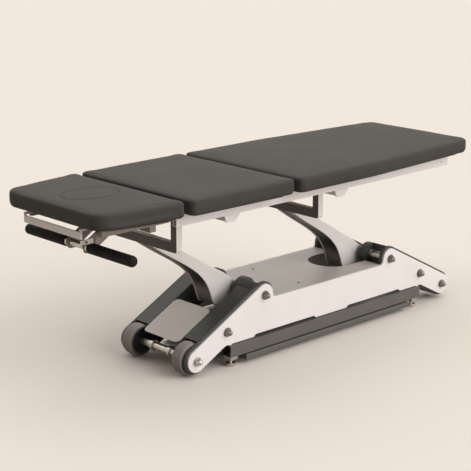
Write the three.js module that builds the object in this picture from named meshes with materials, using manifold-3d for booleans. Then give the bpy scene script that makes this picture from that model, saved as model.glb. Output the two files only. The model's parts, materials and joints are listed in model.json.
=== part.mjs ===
// Height-adjustable three-section treatment table: a low base, two parallel swinging arms that carry the
// top frame, and a head section that tilts. Millimetres, +Z up, +X towards the foot end, -Y the near side.
// Places along X are measured from the middle of the base, and the whole group is moved at the end so that
// its origin lies on the floor under the middle of the table.
import * as THREE from "three";
import { mergeVertices } from "three/addons/utils/BufferGeometryUtils.js";
import Module from "manifold-3d";

const wasm = await Module();
wasm.setup();

// Clearances and cuts
const seat = 0.3;
const runningGap = 0.25;
const openPivotGap = 2;
const overrun = 12;

// Facets of round pieces
const roundSides = 20;
const pinSides = 16;
const smallSides = 10;
const arcSteps = 3;
const domeSteps = 2;

// Table top: three cushions on boards
const headEnd = -1215;
const headLength = 354;
const middleLength = 504;
const legLength = 1081;
const sectionGap = 22;
const topHeight = 722;
const cushionDepth = 62;
const boardThickness = 8;
const boardInset = 26;
const headTipHalf = 268;
const headTipRadius = 64;
const headWaistBulge = 9.5;
const headRearHalf = 321;
const middleHeadHalf = 321;
const middleFootHalf = 328;
const legHeadHalf = 330;
const legWaistHalf = 328;
const legTipHalf = 283;
const legTipRadius = 62;
const headWaistRadius = 900;
const cushionCorner = 26;
const waistRadius = 1800;
const cushionCrown = 4;
const cushionSideInset = 22;

// Face opening with its lift-out plug
const faceMiddle = -1036;
const faceLength = 224;
const faceWidth = 160;
const faceClearance = 1.2;
const faceLedge = 14;
const plugHandleWidth = 24;
const plugHandleDrop = 16;

// Top frame
const railHeadX = -823;
const railFootX = 700;
const railOuterY = 215;
const railWidth = 20;
const railHeight = 52;
const railWall = 2.5;
const railHole = 3;
const railHoleX = 660;
const railHoleDrop = 34;
const headMemberX = -560;
const footMemberX = 30;
const memberLength = 36;
const memberHeight = 24;
const lugThickness = 5;
const lugTopLength = 92;
const lugBottomLength = 44;
const lugDrop = 28;

// Tilt hinge of the head section and its gas spring
const tiltX = -850;
const tiltDrop = 5;
const tiltPinRadius = 6;
const earThickness = 5;
const earHeight = 20;
const earRoot = 12;
const eyeRadius = 12;
const springLever = 36;
const springLeverAngle = 10;
const springPinRadius = 4;
const springCylinderRadius = 11;
const springRodRadius = 5;
const springCylinderLength = 176;
const springFrontX = -776;
const springStroke = 24;
const springEyeWidth = 10;
const springSlotGap = 1.2;
const springRise = 7;
const springClevis = 6;

// Head section frame, handle and release lever
const headRailWidth = 15;
const headRailHeight = 30;
const headRailTip = -1150;
const rearBarX = -876;
const rearBarWidth = 16;
const rearBarDrop = 2;
const midBarX = -927;
const midBarWidth = 28;
const midBarHeight = 22;
const endBarX = -1200;
const endBarHalf = 165;
const endBarHeight = 25;
const endBarThickness = 8;
const endBarUpright = 26;
const endBarDrop = 12;
const handleX = -1090;
const handleDrop = 107;
const handleHalf = 310;
const handleRadius = 12;
const gripRadius = 20;
const gripInner = 64;
const gripWall = 3;
const collarRadius = 17;
const collarLength = 10;
const bracketInner = 44;
const bracketThickness = 6;
const bracketTopHead = -1020;
const bracketTopRear = -925;
const bracketFoot = 22;
const leverPivotX = -1126;
const leverPivotDrop = 24;
const leverSide = 150;
const leverThickness = 5;
const leverPlate = 66;
const leverHalfHeight = 9;
const leverPinRadius = 4;
const leverPinLength = 9;

// Swinging arms, written for rest: hub to top pivot is one straight line of one length
const hubX = 366;
const hubZ = 247;
const pivotRunX = 425;
const pivotDrop = 32;
const armHalf = 47.5;
const armNeckHalf = 34;
const armWall = 5;
const hubBoss = 27;
const hubRadius = 52;
const yokeOuter = 192;
const tineThickness = 30;
const tineDepth = 29;
const yokeBarHeight = 35;
const yokeBarDrop = 108;
const yokeEye = 16;
const pivotPinRadius = 9;
const pivotPinReach = 26;
const driveLever = 100;
const driveLeverThickness = 14;
const driveLeverEye = 17;
const drivePinRadius = 7;

// Base: side plates, box beams, cover, rails and feet
const plateOuterY = 197;
const plateThickness = 9;
const plateBottom = 92;
const plateTop = 229;
const lobeRadius = 43.5;
const endBoltX = 714;
const endBoltZ = 66;
const midBoltX = 563;
const plateBodyHalf = 540;
const beamRim = 9;
const beamInnerY = 100;
const beamWall = 4;
const notchDepth = 9;
const headNotchStart = -424;
const headNotchEnd = -81;
const footNotchStart = 99;
const footNotchEnd = 435;
const notchSlope = 10;
const drumRadius = 48;
const drumInner = 50;
const drumOuter = 165;
const drumWindowWidth = 70;
const drumWindowHeight = 32;
const drumWall = 9;
const axleRadius = 14;
const spacerRadius = 18;
const domeRadius = 15;
const domeHeight = 9;
const rodRadius = 8;
const coverThickness = 3;
const coverSetback = 14;
const armSlotHalf = 100;
const armSlotStart = 120;
const screwRadius = 6;
const screwHead = 2;
const screwX = -115;
const screwY = 130;
const panelTopX = -556;
const panelBottomX = -728;
const panelThickness = 3;
const panelCorner = 20;
const baseRailHalf = 554;
const baseRailOuterY = 207;
const baseRailInnerY = 152;
const baseRailBottom = 42;
const baseRailTop = 89;
const baseRailWall = 3;
const crossTubeWidth = 40;
const crossTubeEndX = 490;
const footX = 530;
const footPadRadius = 20;
const footPadHeight = 12;
const footStemRadius = 6;
const footSideY = 180;
const footBlockLength = 36;
const footBlockWidth = 40;
const footBlockHeight = 16;

// Foot switch bars
const pedalHead = -478;
const pedalFoot = 478;
const pedalOuterY = 222;
const pedalTop = 34;
const pedalBottom = 17;
const pedalThickness = 4;
const pedalStemRadius = 4;
const pedalStemX = 300;
const pedalStemDepth = 30;

// Wheels at the head end
const wheelY = 141.5;
const wheelWidth = 42;
const wheelRadius = 63.5;
const tyreDepth = 14;
const wheelHubRadius = 20;
const wheelWellRadius = 70;
const wheelWellDepth = 76;
const wheelAxleRadius = 11;
const wheelTubeRadius = 15;
const axleCollarRadius = 21;
const axleCollarWidth = 14;
const axleCollarY = 50;

// Lift drive
const driveZ = 154;
const motorHead = -96;
const motorFoot = 40;
const motorRadius = 34;
const driveTubeRadius = 19;
const driveTubeHead = -234;
const driveStroke = 52;
const driveRodRadius = 12;
const driveForkGap = 1.5;
const driveForkCheek = 8;
const driveForkHeight = 46;
const driveForkLength = 44;
const driveForkRoot = 12;
const driveSlotTravel = 8;
const driveClevisX = 74;
const driveClevisRadius = 14;
const driveClevisPin = 6;
const boxX = 190;
const boxLength = 120;
const boxWidth = 100;
const boxHeight = 44;
const inletWidth = 28;
const inletHeight = 20;
const inletDepth = 18;

// Places worked out from the sizes above
const headRear = headEnd + headLength;
const headWaistHalf = (headTipHalf + headRearHalf) / 2 + headWaistBulge;
const middleStart = headRear + sectionGap;
const middleEnd = middleStart + middleLength;
const legStart = middleEnd + sectionGap;
const footEnd = legStart + legLength;
const cushionBottom = topHeight - cushionDepth;
const railTop = cushionBottom - boardThickness;
const railBottom = railTop - railHeight;
const railInnerY = railOuterY - railWidth;
const pivotZ = railTop - pivotDrop;
const pivotRise = pivotZ - hubZ;
const handleZ = railTop - handleDrop;
const endBarTop = railTop - endBarDrop;
const coverHalf = hubX - coverSetback;
const tiltZ = cushionBottom - tiltDrop;
const plateInnerY = plateOuterY - plateThickness;
const beamOuterY = plateInnerY - seat;
const slopeX = endBoltX - hubX;
const slopeZ = hubZ - endBoltZ;
const slopeLength = Math.hypot(slopeX, slopeZ);
const slopeAngle = Math.atan2(slopeZ, slopeX);
const midBoltZ = slopeHeight(midBoltX);

// Height of the line from a hub to its end bolt, at a distance from the middle of the base
function slopeHeight(x) {
  return hubZ - ((x - hubX) * slopeZ) / slopeX;
}

// Closed mesh to solid, and solid back to geometry
function solid(geometry) {
  const bare = geometry.index ? geometry.toNonIndexed() : geometry;
  bare.deleteAttribute("normal");
  bare.deleteAttribute("uv");
  const merged = mergeVertices(bare);
  const mesh = new wasm.Mesh({
    numProp: 3,
    vertProperties: merged.attributes.position.array,
    triVerts: new Uint32Array(merged.index.array),
  });
  return new wasm.Manifold(mesh);
}

function geometryOf(body) {
  const mesh = body.getMesh();
  const geometry = new THREE.BufferGeometry();
  const places = new Float32Array(mesh.numVert * 3);
  for (let i = 0; i < mesh.numVert; i++) {
    places.set(mesh.vertProperties.subarray(i * mesh.numProp, i * mesh.numProp + 3), i * 3);
  }
  geometry.setAttribute("position", new THREE.BufferAttribute(places, 3));
  geometry.setIndex(new THREE.BufferAttribute(mesh.triVerts, 1));
  geometry.computeVertexNormals();
  return geometry;
}

function join(first, ...rest) {
  return rest.reduce((whole, piece) => whole.add(piece), first);
}

function cut(first, ...rest) {
  return rest.reduce((whole, piece) => whole.subtract(piece), first);
}

// A block between two corners, given axis by axis
function block(x0, x1, y0, y1, z0, z1) {
  const geometry = new THREE.BoxGeometry(Math.abs(x1 - x0), Math.abs(y1 - y0), Math.abs(z1 - z0));
  return solid(geometry.translate((x0 + x1) / 2, (y0 + y1) / 2, (z0 + z1) / 2));
}

// An outline in X and Z drawn out along Y, from one Y to another in either order
function plate(shape, y0, y1, steps = arcSteps) {
  const depth = Math.abs(y1 - y0);
  const geometry = new THREE.ExtrudeGeometry(shape, { depth, bevelEnabled: false, curveSegments: steps });
  return solid(geometry.rotateX(Math.PI / 2).translate(0, Math.max(y0, y1), 0));
}

// An outline in X and Y drawn out upwards
function slab(shape, z0, z1, steps = arcSteps) {
  const depth = z1 - z0;
  const geometry = new THREE.ExtrudeGeometry(shape, { depth, bevelEnabled: false, curveSegments: steps });
  return solid(geometry.translate(0, 0, z0));
}

// A running bore's corners stand out far enough for its flats to clear the turning pin
function running(radius, sides) {
  return (radius + runningGap) / Math.cos(Math.PI / sides);
}

// Round pieces along each axis, from one end to the other in either order
function rodY(x, z, radius, y0, y1, sides = roundSides) {
  const geometry = new THREE.CylinderGeometry(radius, radius, Math.abs(y1 - y0), sides);
  return solid(geometry.translate(x, (y0 + y1) / 2, z));
}

function rodX(y, z, radius, x0, x1, sides = roundSides) {
  const geometry = new THREE.CylinderGeometry(radius, radius, Math.abs(x1 - x0), sides);
  return solid(geometry.rotateZ(Math.PI / 2).translate((x0 + x1) / 2, y, z));
}

function rodZ(x, y, radius, z0, z1, sides = roundSides) {
  const geometry = new THREE.CylinderGeometry(radius, radius, Math.abs(z1 - z0), sides);
  return solid(geometry.rotateX(Math.PI / 2).translate(x, y, (z0 + z1) / 2));
}

// Corners with a radius each, [x, y, radius], joined by straight edges and round fillets
function rounded(corners) {
  const shape = new THREE.Shape();
  corners.forEach(([x, y, radius], i) => {
    const corner = new THREE.Vector2(x, y);
    const [bx, by] = corners[(i + corners.length - 1) % corners.length];
    const [ax, ay] = corners[(i + 1) % corners.length];
    const back = new THREE.Vector2(bx, by).sub(corner).normalize();
    const ahead = new THREE.Vector2(ax, ay).sub(corner).normalize();
    const half = Math.acos(THREE.MathUtils.clamp(back.dot(ahead), -1, 1)) / 2;
    const start = corner.clone();
    if (radius > 0) start.addScaledVector(back, radius / Math.tan(half));
    if (i === 0) shape.moveTo(start.x, start.y);
    else shape.lineTo(start.x, start.y);
    if (radius > 0) {
      const middle = back.clone().add(ahead).normalize();
      const centre = corner.clone().addScaledVector(middle, radius / Math.sin(half));
      const end = corner.clone().addScaledVector(ahead, radius / Math.tan(half));
      const from = Math.atan2(start.y - centre.y, start.x - centre.x);
      const to = Math.atan2(end.y - centre.y, end.x - centre.x);
      const turn = back.x * ahead.y - back.y * ahead.x;
      shape.absarc(centre.x, centre.y, radius, from, to, turn > 0);
    }
  });
  return shape;
}

// The round-ended band from the hub down to the end bolt, for one end of the base
function wing(end, radius) {
  const shape = new THREE.Shape();
  const start = Math.PI / 2 - slopeAngle;
  const points = [];
  const sweep = (x, z, from) => {
    for (let i = 0; i <= roundSides / 2; i++) {
      const angle = from + (Math.PI * i) / (roundSides / 2);
      points.push([x + radius * Math.cos(angle), z + radius * Math.sin(angle)]);
    }
  };
  sweep(hubX, hubZ, start);
  sweep(endBoltX, endBoltZ, start + Math.PI);
  points.forEach(([x, z], i) => {
    if (i === 0) shape.moveTo(end * x, z);
    else shape.lineTo(end * x, z);
  });
  return shape;
}

// Cushion with rounded corners seen from above: a flat bottom, bulged sides drawn in below and above,
// a soft top edge and a crown that rises to the middle
const sideInsetShares = [0.45, 0.14, 0, 0.06, 0.26, 0.54, 1];
const sideHeightShares = [0, 0.1, 0.34, 0.62, 0.82, 0.93, 1];
const crownShares = [0.7, 0.36];
const cushionPoints = 52;

function cushion(outline, z0, z1) {
  const middle = new THREE.Vector2();
  const points = outline.getSpacedPoints(cushionPoints).slice(0, cushionPoints);
  if (THREE.ShapeUtils.area(points) < 0) points.reverse();
  points.forEach((p) => middle.addScaledVector(p, 1 / cushionPoints));
  const normals = points.map((p, i) => {
    const next = points[(i + 1) % cushionPoints];
    const last = points[(i + cushionPoints - 1) % cushionPoints];
    return new THREE.Vector2(next.y - last.y, last.x - next.x).normalize();
  });
  const shoulder = z1 - cushionCrown;
  const rings = sideInsetShares.map((share, k) => ({
    at: (i) => points[i].clone().addScaledVector(normals[i], -share * cushionSideInset),
    z: z0 + (shoulder - z0) * sideHeightShares[k],
  }));
  const rim = rings[rings.length - 1];
  crownShares.forEach((share) => {
    rings.push({
      at: (i) => rim.at(i).sub(middle).multiplyScalar(share).add(middle),
      z: shoulder + cushionCrown * (1 - share * share),
    });
  });
  const places = [];
  rings.forEach((ring) => {
    for (let i = 0; i < cushionPoints; i++) {
      const p = ring.at(i);
      places.push(p.x, p.y, ring.z);
    }
  });
  places.push(middle.x, middle.y, z0, middle.x, middle.y, z1);
  const bottom = rings.length * cushionPoints;
  const top = bottom + 1;
  const faces = [];
  for (let i = 0; i < cushionPoints; i++) {
    const j = (i + 1) % cushionPoints;
    for (let k = 0; k + 1 < rings.length; k++) {
      const a = k * cushionPoints;
      const b = a + cushionPoints;
      faces.push(a + i, a + j, b + j, a + i, b + j, b + i);
    }
    const last = (rings.length - 1) * cushionPoints;
    faces.push(bottom, j, i, top, last + i, last + j);
  }
  const geometry = new THREE.BufferGeometry();
  geometry.setAttribute("position", new THREE.Float32BufferAttribute(places, 3));
  geometry.setIndex(faces);
  return solid(geometry);
}

// Outlines of the three sections, each drawn in by the same amount all round for the boards
function headOutline(inset) {
  return rounded([
    [headEnd + inset, inset - headTipHalf, headTipRadius],
    [(headEnd + headRear) / 2, inset - headWaistHalf, headWaistRadius],
    [headRear - inset, inset - headRearHalf, cushionCorner],
    [headRear - inset, headRearHalf - inset, cushionCorner],
    [(headEnd + headRear) / 2, headWaistHalf - inset, headWaistRadius],
    [headEnd + inset, headTipHalf - inset, headTipRadius],
  ]);
}

function middleOutline(inset) {
  return rounded([
    [middleStart + inset, inset - middleHeadHalf, cushionCorner],
    [middleEnd - inset, inset - middleFootHalf, cushionCorner],
    [middleEnd - inset, middleFootHalf - inset, cushionCorner],
    [middleStart + inset, middleHeadHalf - inset, cushionCorner],
  ]);
}

const legWaistShare = 0.4;

function legOutline(inset) {
  const waist = legStart + legLength * legWaistShare;
  return rounded([
    [legStart + inset, inset - legHeadHalf, cushionCorner],
    [waist, inset - legWaistHalf, waistRadius],
    [footEnd - inset, inset - legTipHalf, legTipRadius],
    [footEnd - inset, legTipHalf - inset, legTipRadius],
    [waist, legWaistHalf - inset, waistRadius],
    [legStart + inset, legHeadHalf - inset, cushionCorner],
  ]);
}

// The oval of the face opening, drawn in or out
function faceOval(inset) {
  const shape = new THREE.Shape();
  const long = faceLength / 2 - inset;
  const wide = faceWidth / 2 - inset;
  shape.absellipse(faceMiddle, 0, long, wide, 0, 2 * Math.PI, false, 0);
  return shape;
}

// Side plates and beams
function sidePlate(side) {
  const y0 = side * plateInnerY;
  const y1 = side * plateOuterY;
  const body = rounded([
    [-plateBodyHalf, plateBottom, 0],
    [headNotchStart, plateBottom, 0],
    [headNotchStart + notchSlope, plateBottom + notchDepth, 0],
    [headNotchEnd - notchSlope, plateBottom + notchDepth, 0],
    [headNotchEnd, plateBottom, 0],
    [footNotchStart, plateBottom, 0],
    [footNotchStart + notchSlope, plateBottom + notchDepth, 0],
    [footNotchEnd - notchSlope, plateBottom + notchDepth, 0],
    [footNotchEnd, plateBottom, 0],
    [plateBodyHalf, plateBottom, 0],
    [plateBodyHalf, slopeHeight(plateBodyHalf), 0],
    [hubX, hubZ, 0],
    [hubX, plateTop, 0],
    [-hubX, plateTop, 0],
    [-hubX, hubZ, 0],
    [-plateBodyHalf, slopeHeight(plateBodyHalf), 0],
  ]);
  const holes = boltPlaces().map(([x, z, radius]) => {
    return rodY(x, z, radius + seat, y0 - side * overrun, y1 + side * overrun, pinSides);
  });
  const wings = [-1, 1].map((end) => plate(wing(end, lobeRadius), y0, y1));
  return cut(join(plate(body, y0, y1), ...wings), ...holes);
}

// Every through shaft of the base, [x, z, radius]
function boltPlaces() {
  return [
    [-endBoltX, endBoltZ, wheelAxleRadius],
    [-midBoltX, midBoltZ, rodRadius],
    [-hubX, hubZ, axleRadius],
    [hubX, hubZ, axleRadius],
    [midBoltX, midBoltZ, rodRadius],
    [endBoltX, endBoltZ, rodRadius],
  ];
}

// A folded box beam, open below, with its upper end seated on the bearing drum
function beam(end, side) {
  const inner = side * beamInnerY;
  const outer = side * beamOuterY;
  const skin = plate(wing(end, lobeRadius + beamRim), inner, outer);
  const hollowShape = wing(end, lobeRadius + beamRim - beamWall);
  const y0 = inner + side * beamWall;
  const y1 = outer - side * beamWall;
  const hollow = plate(hollowShape, y0, y1);
  const below = hollow.translate([0, 0, -(lobeRadius + beamRim)]);
  const further = below.translate([0, 0, -(lobeRadius + beamRim)]);
  const drum = rodY(end * hubX, hubZ, drumRadius + seat, inner - side * overrun, side * (drumOuter + seat));
  const holes = boltPlaces().map(([x, z, radius]) => {
    return rodY(x, z, radius + seat, inner - side * overrun, outer + side * overrun, pinSides);
  });
  const made = cut(skin, hollow, below, further, drum, ...holes);
  if (end > 0) return made;
  const wellEnd = side * (beamInnerY + wheelWellDepth);
  const well = rodY(-endBoltX, endBoltZ, wheelWellRadius, inner - side * overrun, wellEnd);
  return cut(made, well);
}

// A bearing drum: a hollow cylinder with end walls and a window towards the middle of the table
function bearingDrum(end, side) {
  const y0 = side * drumInner;
  const y1 = side * drumOuter;
  const x = end * hubX;
  const outside = rodY(x, hubZ, drumRadius, y0, y1);
  const inside = rodY(x, hubZ, drumRadius - drumWall, y0 + side * drumWall, y1 - side * drumWall);
  const sleeve = rodY(x, hubZ, spacerRadius + drumWall / 2, y0, y1, smallSides);
  const middleY = (side * (drumInner + drumOuter)) / 2;
  const window = block(
    x,
    x - end * (drumRadius + overrun),
    middleY - drumWindowWidth / 2,
    middleY + drumWindowWidth / 2,
    hubZ - drumWindowHeight / 2,
    hubZ + drumWindowHeight / 2,
  );
  const bore = rodY(x, hubZ, axleRadius + seat, y0 - side * overrun, y1 + side * overrun, pinSides);
  return cut(join(cut(outside, inside, window), sleeve), bore);
}

// A through shaft with a domed head at both sides of the base
function throughShaft(x, z, radius) {
  const reach = plateOuterY + seat;
  const profile = [];
  for (let i = 0; i <= domeSteps; i++) {
    const angle = (Math.PI / 2) * (i / domeSteps);
    profile.push(new THREE.Vector2(domeRadius * Math.sin(angle), reach + domeHeight * Math.cos(angle)));
  }
  profile.push(new THREE.Vector2(radius, reach));
  const mirrored = profile.map((p) => new THREE.Vector2(p.x, -p.y)).reverse();
  const all = [...profile, ...mirrored].reverse();
  all[0].x = 0;
  all[all.length - 1].x = 0;
  return solid(new THREE.LatheGeometry(all, pinSides).translate(x, 0, z));
}

function hubAxle(end) {
  const x = end * hubX;
  const collars = [-1, 1].map((side) => {
    return rodY(x, hubZ, spacerRadius, side * (armNeckHalf + seat), side * (drumInner - seat), smallSides);
  });
  return join(throughShaft(x, hubZ, axleRadius), ...collars);
}

function wheelAxle() {
  const reach = wheelY - wheelWidth / 2 - seat;
  const tube = rodY(-endBoltX, endBoltZ, wheelTubeRadius, -reach, reach, smallSides);
  const collars = [-1, 1].map((side) => {
    const y = side * axleCollarY;
    return rodY(-endBoltX, endBoltZ, axleCollarRadius, y - axleCollarWidth / 2, y + axleCollarWidth / 2);
  });
  return join(throughShaft(-endBoltX, endBoltZ, wheelAxleRadius), tube, ...collars);
}

// Cover over the base, with a round-ended slot for the foot arm, a square notch for the head arm's hub
// and room for the bearing drums
function baseCover() {
  const half = plateInnerY - seat;
  const sheet = block(-coverHalf, coverHalf, -half, half, plateTop - coverThickness, plateTop);
  const cuts = [];
  const z0 = plateTop - coverThickness - overrun;
  const z1 = plateTop + overrun;
  const slot = new THREE.Shape();
  const centre = armSlotStart + armSlotHalf;
  slot.moveTo(coverHalf + overrun, -armSlotHalf);
  slot.lineTo(coverHalf + overrun, armSlotHalf);
  slot.lineTo(centre, armSlotHalf);
  slot.absarc(centre, 0, armSlotHalf, Math.PI / 2, -Math.PI / 2, false);
  cuts.push(slab(slot, z0, z1, smallSides));
  const notchEnd = hubRadius + notchDepth - hubX;
  const notchHalf = armHalf + notchDepth;
  cuts.push(block(-coverHalf - overrun, notchEnd, -notchHalf, notchHalf, z0, z1));
  [-1, 1].forEach((end) => {
    [-1, 1].forEach((side) => {
      const drumEnd = side * (drumOuter + seat);
      cuts.push(rodY(end * hubX, hubZ, drumRadius + seat, side * (drumInner - seat), drumEnd));
    });
    const beamClear = wing(end, lobeRadius + beamRim + seat);
    cuts.push(plate(beamClear, beamInnerY - seat, half + overrun));
    cuts.push(plate(beamClear, seat - beamInnerY, -half - overrun));
  });
  [-1, 1].forEach((side) => {
    cuts.push(rodZ(screwX, side * screwY, screwRadius / 2 + seat, z0, z1, smallSides));
  });
  return cut(sheet, ...cuts);
}

function coverScrew(side) {
  const bottom = plateTop - coverThickness - screwHead;
  const shank = rodZ(screwX, side * screwY, screwRadius / 2, bottom, plateTop + screwHead, smallSides);
  const head = rodZ(
    screwX,
    side * screwY,
    screwRadius,
    plateTop + seat,
    plateTop + seat + screwHead,
    smallSides,
  );
  return join(shank, head);
}

// Panel between the head-end beams, flush with their sloping tops
function headEndPanel() {
  const half = beamInnerY - seat;
  const cosine = Math.cos(slopeAngle);
  const length = (panelTopX - panelBottomX) / cosine;
  const shape = rounded([
    [0, -half, panelCorner],
    [length, -half, panelCorner],
    [length, half, panelCorner],
    [0, half, panelCorner],
  ]);
  const rise = (hubX + panelTopX) * Math.tan(slopeAngle) + (lobeRadius + beamRim) / cosine;
  const depth = panelThickness;
  const geometry = new THREE.ExtrudeGeometry(
    shape,
    { depth, bevelEnabled: false, curveSegments: arcSteps },
  );
  geometry.translate(-length, 0, -depth);
  geometry.rotateY(-slopeAngle);
  return solid(geometry.translate(panelTopX, 0, hubZ + rise));
}

// A rectangular tube along X, open at both ends
function tubeX(x0, x1, y0, y1, z0, z1, wall) {
  const low = Math.min(y0, y1);
  const high = Math.max(y0, y1);
  const inside = block(x0 - overrun, x1 + overrun, low + wall, high - wall, z0 + wall, z1 - wall);
  return cut(block(x0, x1, low, high, z0, z1), inside);
}

function pedalStemPlaces() {
  return [-pedalStemX, pedalStemX];
}

function baseRail(side) {
  const y0 = side * baseRailInnerY;
  const y1 = side * baseRailOuterY;
  const tube = tubeX(-baseRailHalf, baseRailHalf, y0, y1, baseRailBottom, baseRailTop, baseRailWall);
  const middleY = side * footSideY;
  const guides = pedalStemPlaces().map((x) => {
    const top = baseRailBottom + baseRailWall + overrun;
    return rodZ(x, middleY, pedalStemRadius + runningGap, baseRailBottom - overrun, top, smallSides);
  });
  const sockets = [-footX, footX].map((x) => {
    const top = baseRailBottom + baseRailWall + overrun;
    return rodZ(x, middleY, footStemRadius + seat, baseRailBottom - overrun, top, smallSides);
  });
  return cut(tube, ...guides, ...sockets);
}

function crossTube(x) {
  const half = baseRailInnerY - seat;
  const inside = crossTubeWidth / 2 - baseRailWall;
  const z0 = baseRailBottom + baseRailWall;
  const z1 = baseRailTop - baseRailWall;
  const outer = block(x - crossTubeWidth / 2, x + crossTubeWidth / 2, -half, half, z0, z1);
  const bore = block(
    x - inside,
    x + inside,
    -half - overrun,
    half + overrun,
    z0 + baseRailWall,
    z1 - baseRailWall,
  );
  return cut(outer, bore);
}

// The middle cross tube also carries the rear pivot of the lift drive
function driveCrossTube() {
  const cheekInner = driveClevisRadius / 2 + seat;
  const cheekOuter = cheekInner + driveForkCheek;
  const top = baseRailTop - baseRailWall;
  const cheeks = [-1, 1].map((side) => {
    const shape = rounded([
      [driveClevisX - crossTubeWidth / 2, top - baseRailWall, 0],
      [driveClevisX + crossTubeWidth / 2, top - baseRailWall, 0],
      [driveClevisX + driveClevisRadius, driveZ + driveClevisRadius, driveClevisPin],
      [driveClevisX - driveClevisRadius, driveZ + driveClevisRadius, driveClevisPin],
    ]);
    return plate(shape, side * cheekInner, side * cheekOuter);
  });
  const pin = rodY(driveClevisX, driveZ, driveClevisPin, -cheekOuter, cheekOuter, smallSides);
  return join(crossTube(driveClevisX), ...cheeks, pin);
}

function levellingFoot(end, side) {
  const x = end * footX;
  const y = side * footSideY;
  const pad = rodZ(x, y, footPadRadius, 0, footPadHeight);
  const blockTop = baseRailBottom - seat;
  const body = block(
    x - footBlockLength / 2,
    x + footBlockLength / 2,
    y - footBlockWidth / 2,
    y + footBlockWidth / 2,
    blockTop - footBlockHeight,
    blockTop,
  );
  const stemTop = baseRailBottom + baseRailWall + footStemRadius;
  return join(pad, body, rodZ(x, y, footStemRadius, 0, stemTop, smallSides));
}

// Foot switch bar: an angle strip along the rail, guided by two stems
function pedalBar(side) {
  const inner = baseRailInnerY + footStemRadius;
  const strip = block(
    pedalHead,
    pedalFoot,
    side * inner,
    side * pedalOuterY,
    pedalBottom,
    pedalBottom + pedalThickness,
  );
  const lip = block(
    pedalHead,
    pedalFoot,
    side * (pedalOuterY - pedalThickness),
    side * pedalOuterY,
    pedalBottom,
    pedalTop,
  );
  const stems = pedalStemPlaces().map((x) => {
    return rodZ(
      x,
      side * footSideY,
      pedalStemRadius,
      pedalBottom,
      baseRailBottom + pedalStemDepth,
      smallSides,
    );
  });
  return join(strip, lip, ...stems);
}

// Wheels
const rimShare = 0.12;
const dishShare = 0.25;

function wheelHub(side) {
  const outer = wheelRadius - tyreDepth - seat;
  const half = wheelWidth / 2;
  const bore = running(wheelAxleRadius, roundSides);
  const dish = half * (1 - dishShare);
  const rim = outer * (1 - rimShare);
  const places = [
    [bore, -half],
    [wheelHubRadius, -half],
    [wheelHubRadius, -dish],
    [rim, -dish],
    [rim, -half],
    [outer, -half],
    [outer, half],
    [rim, half],
    [rim, dish],
    [wheelHubRadius, dish],
    [wheelHubRadius, half],
    [bore, half],
    [bore, -half],
  ];
  const profile = places.map(([radius, y]) => new THREE.Vector2(radius, y));
  return solid(new THREE.LatheGeometry(profile, roundSides).translate(-endBoltX, side * wheelY, endBoltZ));
}

function tyre(side) {
  const inner = wheelRadius - tyreDepth;
  const half = wheelWidth / 2;
  const shoulder = tyreDepth / 3;
  const places = [
    [inner, -half],
    [wheelRadius - shoulder, -half],
    [wheelRadius, shoulder - half],
    [wheelRadius, half - shoulder],
    [wheelRadius - shoulder, half],
    [inner, half],
    [inner, -half],
  ];
  const profile = places.map(([radius, y]) => new THREE.Vector2(radius, y));
  return solid(new THREE.LatheGeometry(profile, roundSides).translate(-endBoltX, side * wheelY, endBoltZ));
}

// Arm outline from the yoke bar down to the hub, as shares of the run and rise from hub to top pivot
const lowerEdgeShares = [
  [-1.035, 0.671],
  [-0.929, 0.59],
  [-0.812, 0.504],
  [-0.694, 0.421],
  [-0.569, 0.327],
  [-0.471, 0.236],
  [-0.393, 0.131],
  [-0.341, 0.011],
  [-0.313, -0.086],
  [-0.268, -0.15],
];
const upperEdgeShares = [
  [0.071, -0.05],
  [-0.012, 0.062],
  [-0.094, 0.131],
  [-0.195, 0.209],
  [-0.322, 0.29],
  [-0.447, 0.381],
  [-0.576, 0.464],
  [-0.671, 0.534],
  [-0.965, 0.758],
];

// The heel's arc round the hub, as shares of a half turn
const heelStartShare = -0.7;
const heelTurnShare = 0.65;

function armPoint([across, up]) {
  return new THREE.Vector2(across * pivotRunX, up * pivotRise);
}

function armShape(x) {
  const lower = lowerEdgeShares.map(armPoint);
  const upper = upperEdgeShares.map(armPoint);
  const heel = [];
  for (let i = 0; i <= arcSteps; i++) {
    const angle = Math.PI * (heelStartShare + (heelTurnShare * i) / arcSteps);
    heel.push(new THREE.Vector2(hubRadius * Math.cos(angle), hubRadius * Math.sin(angle)));
  }
  const points = [...lower, ...heel, ...upper];
  return new THREE.Shape(points.map((p) => new THREE.Vector2(p.x + x, p.y + hubZ)));
}

// The same outline drawn in by the wall, and left open at the lower edge near the hub
function armHollow(x) {
  const drawn = lowerEdgeShares.slice(1, -3).map(armPoint);
  const upper = upperEdgeShares.slice(3, -1).map(armPoint);
  const inside = [];
  drawn.forEach((p) => inside.push(new THREE.Vector2(p.x + armWall / 2, p.y + armWall)));
  const mouth = armPoint(lowerEdgeShares[lowerEdgeShares.length - 3]);
  inside.push(new THREE.Vector2(mouth.x - overrun, mouth.y));
  inside.push(new THREE.Vector2(mouth.x + hubRadius, mouth.y));
  upper.forEach((p) => inside.push(new THREE.Vector2(p.x - armWall / 2, p.y - armWall)));
  return new THREE.Shape(inside.map((p) => new THREE.Vector2(p.x + x, p.y + hubZ)));
}

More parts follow.
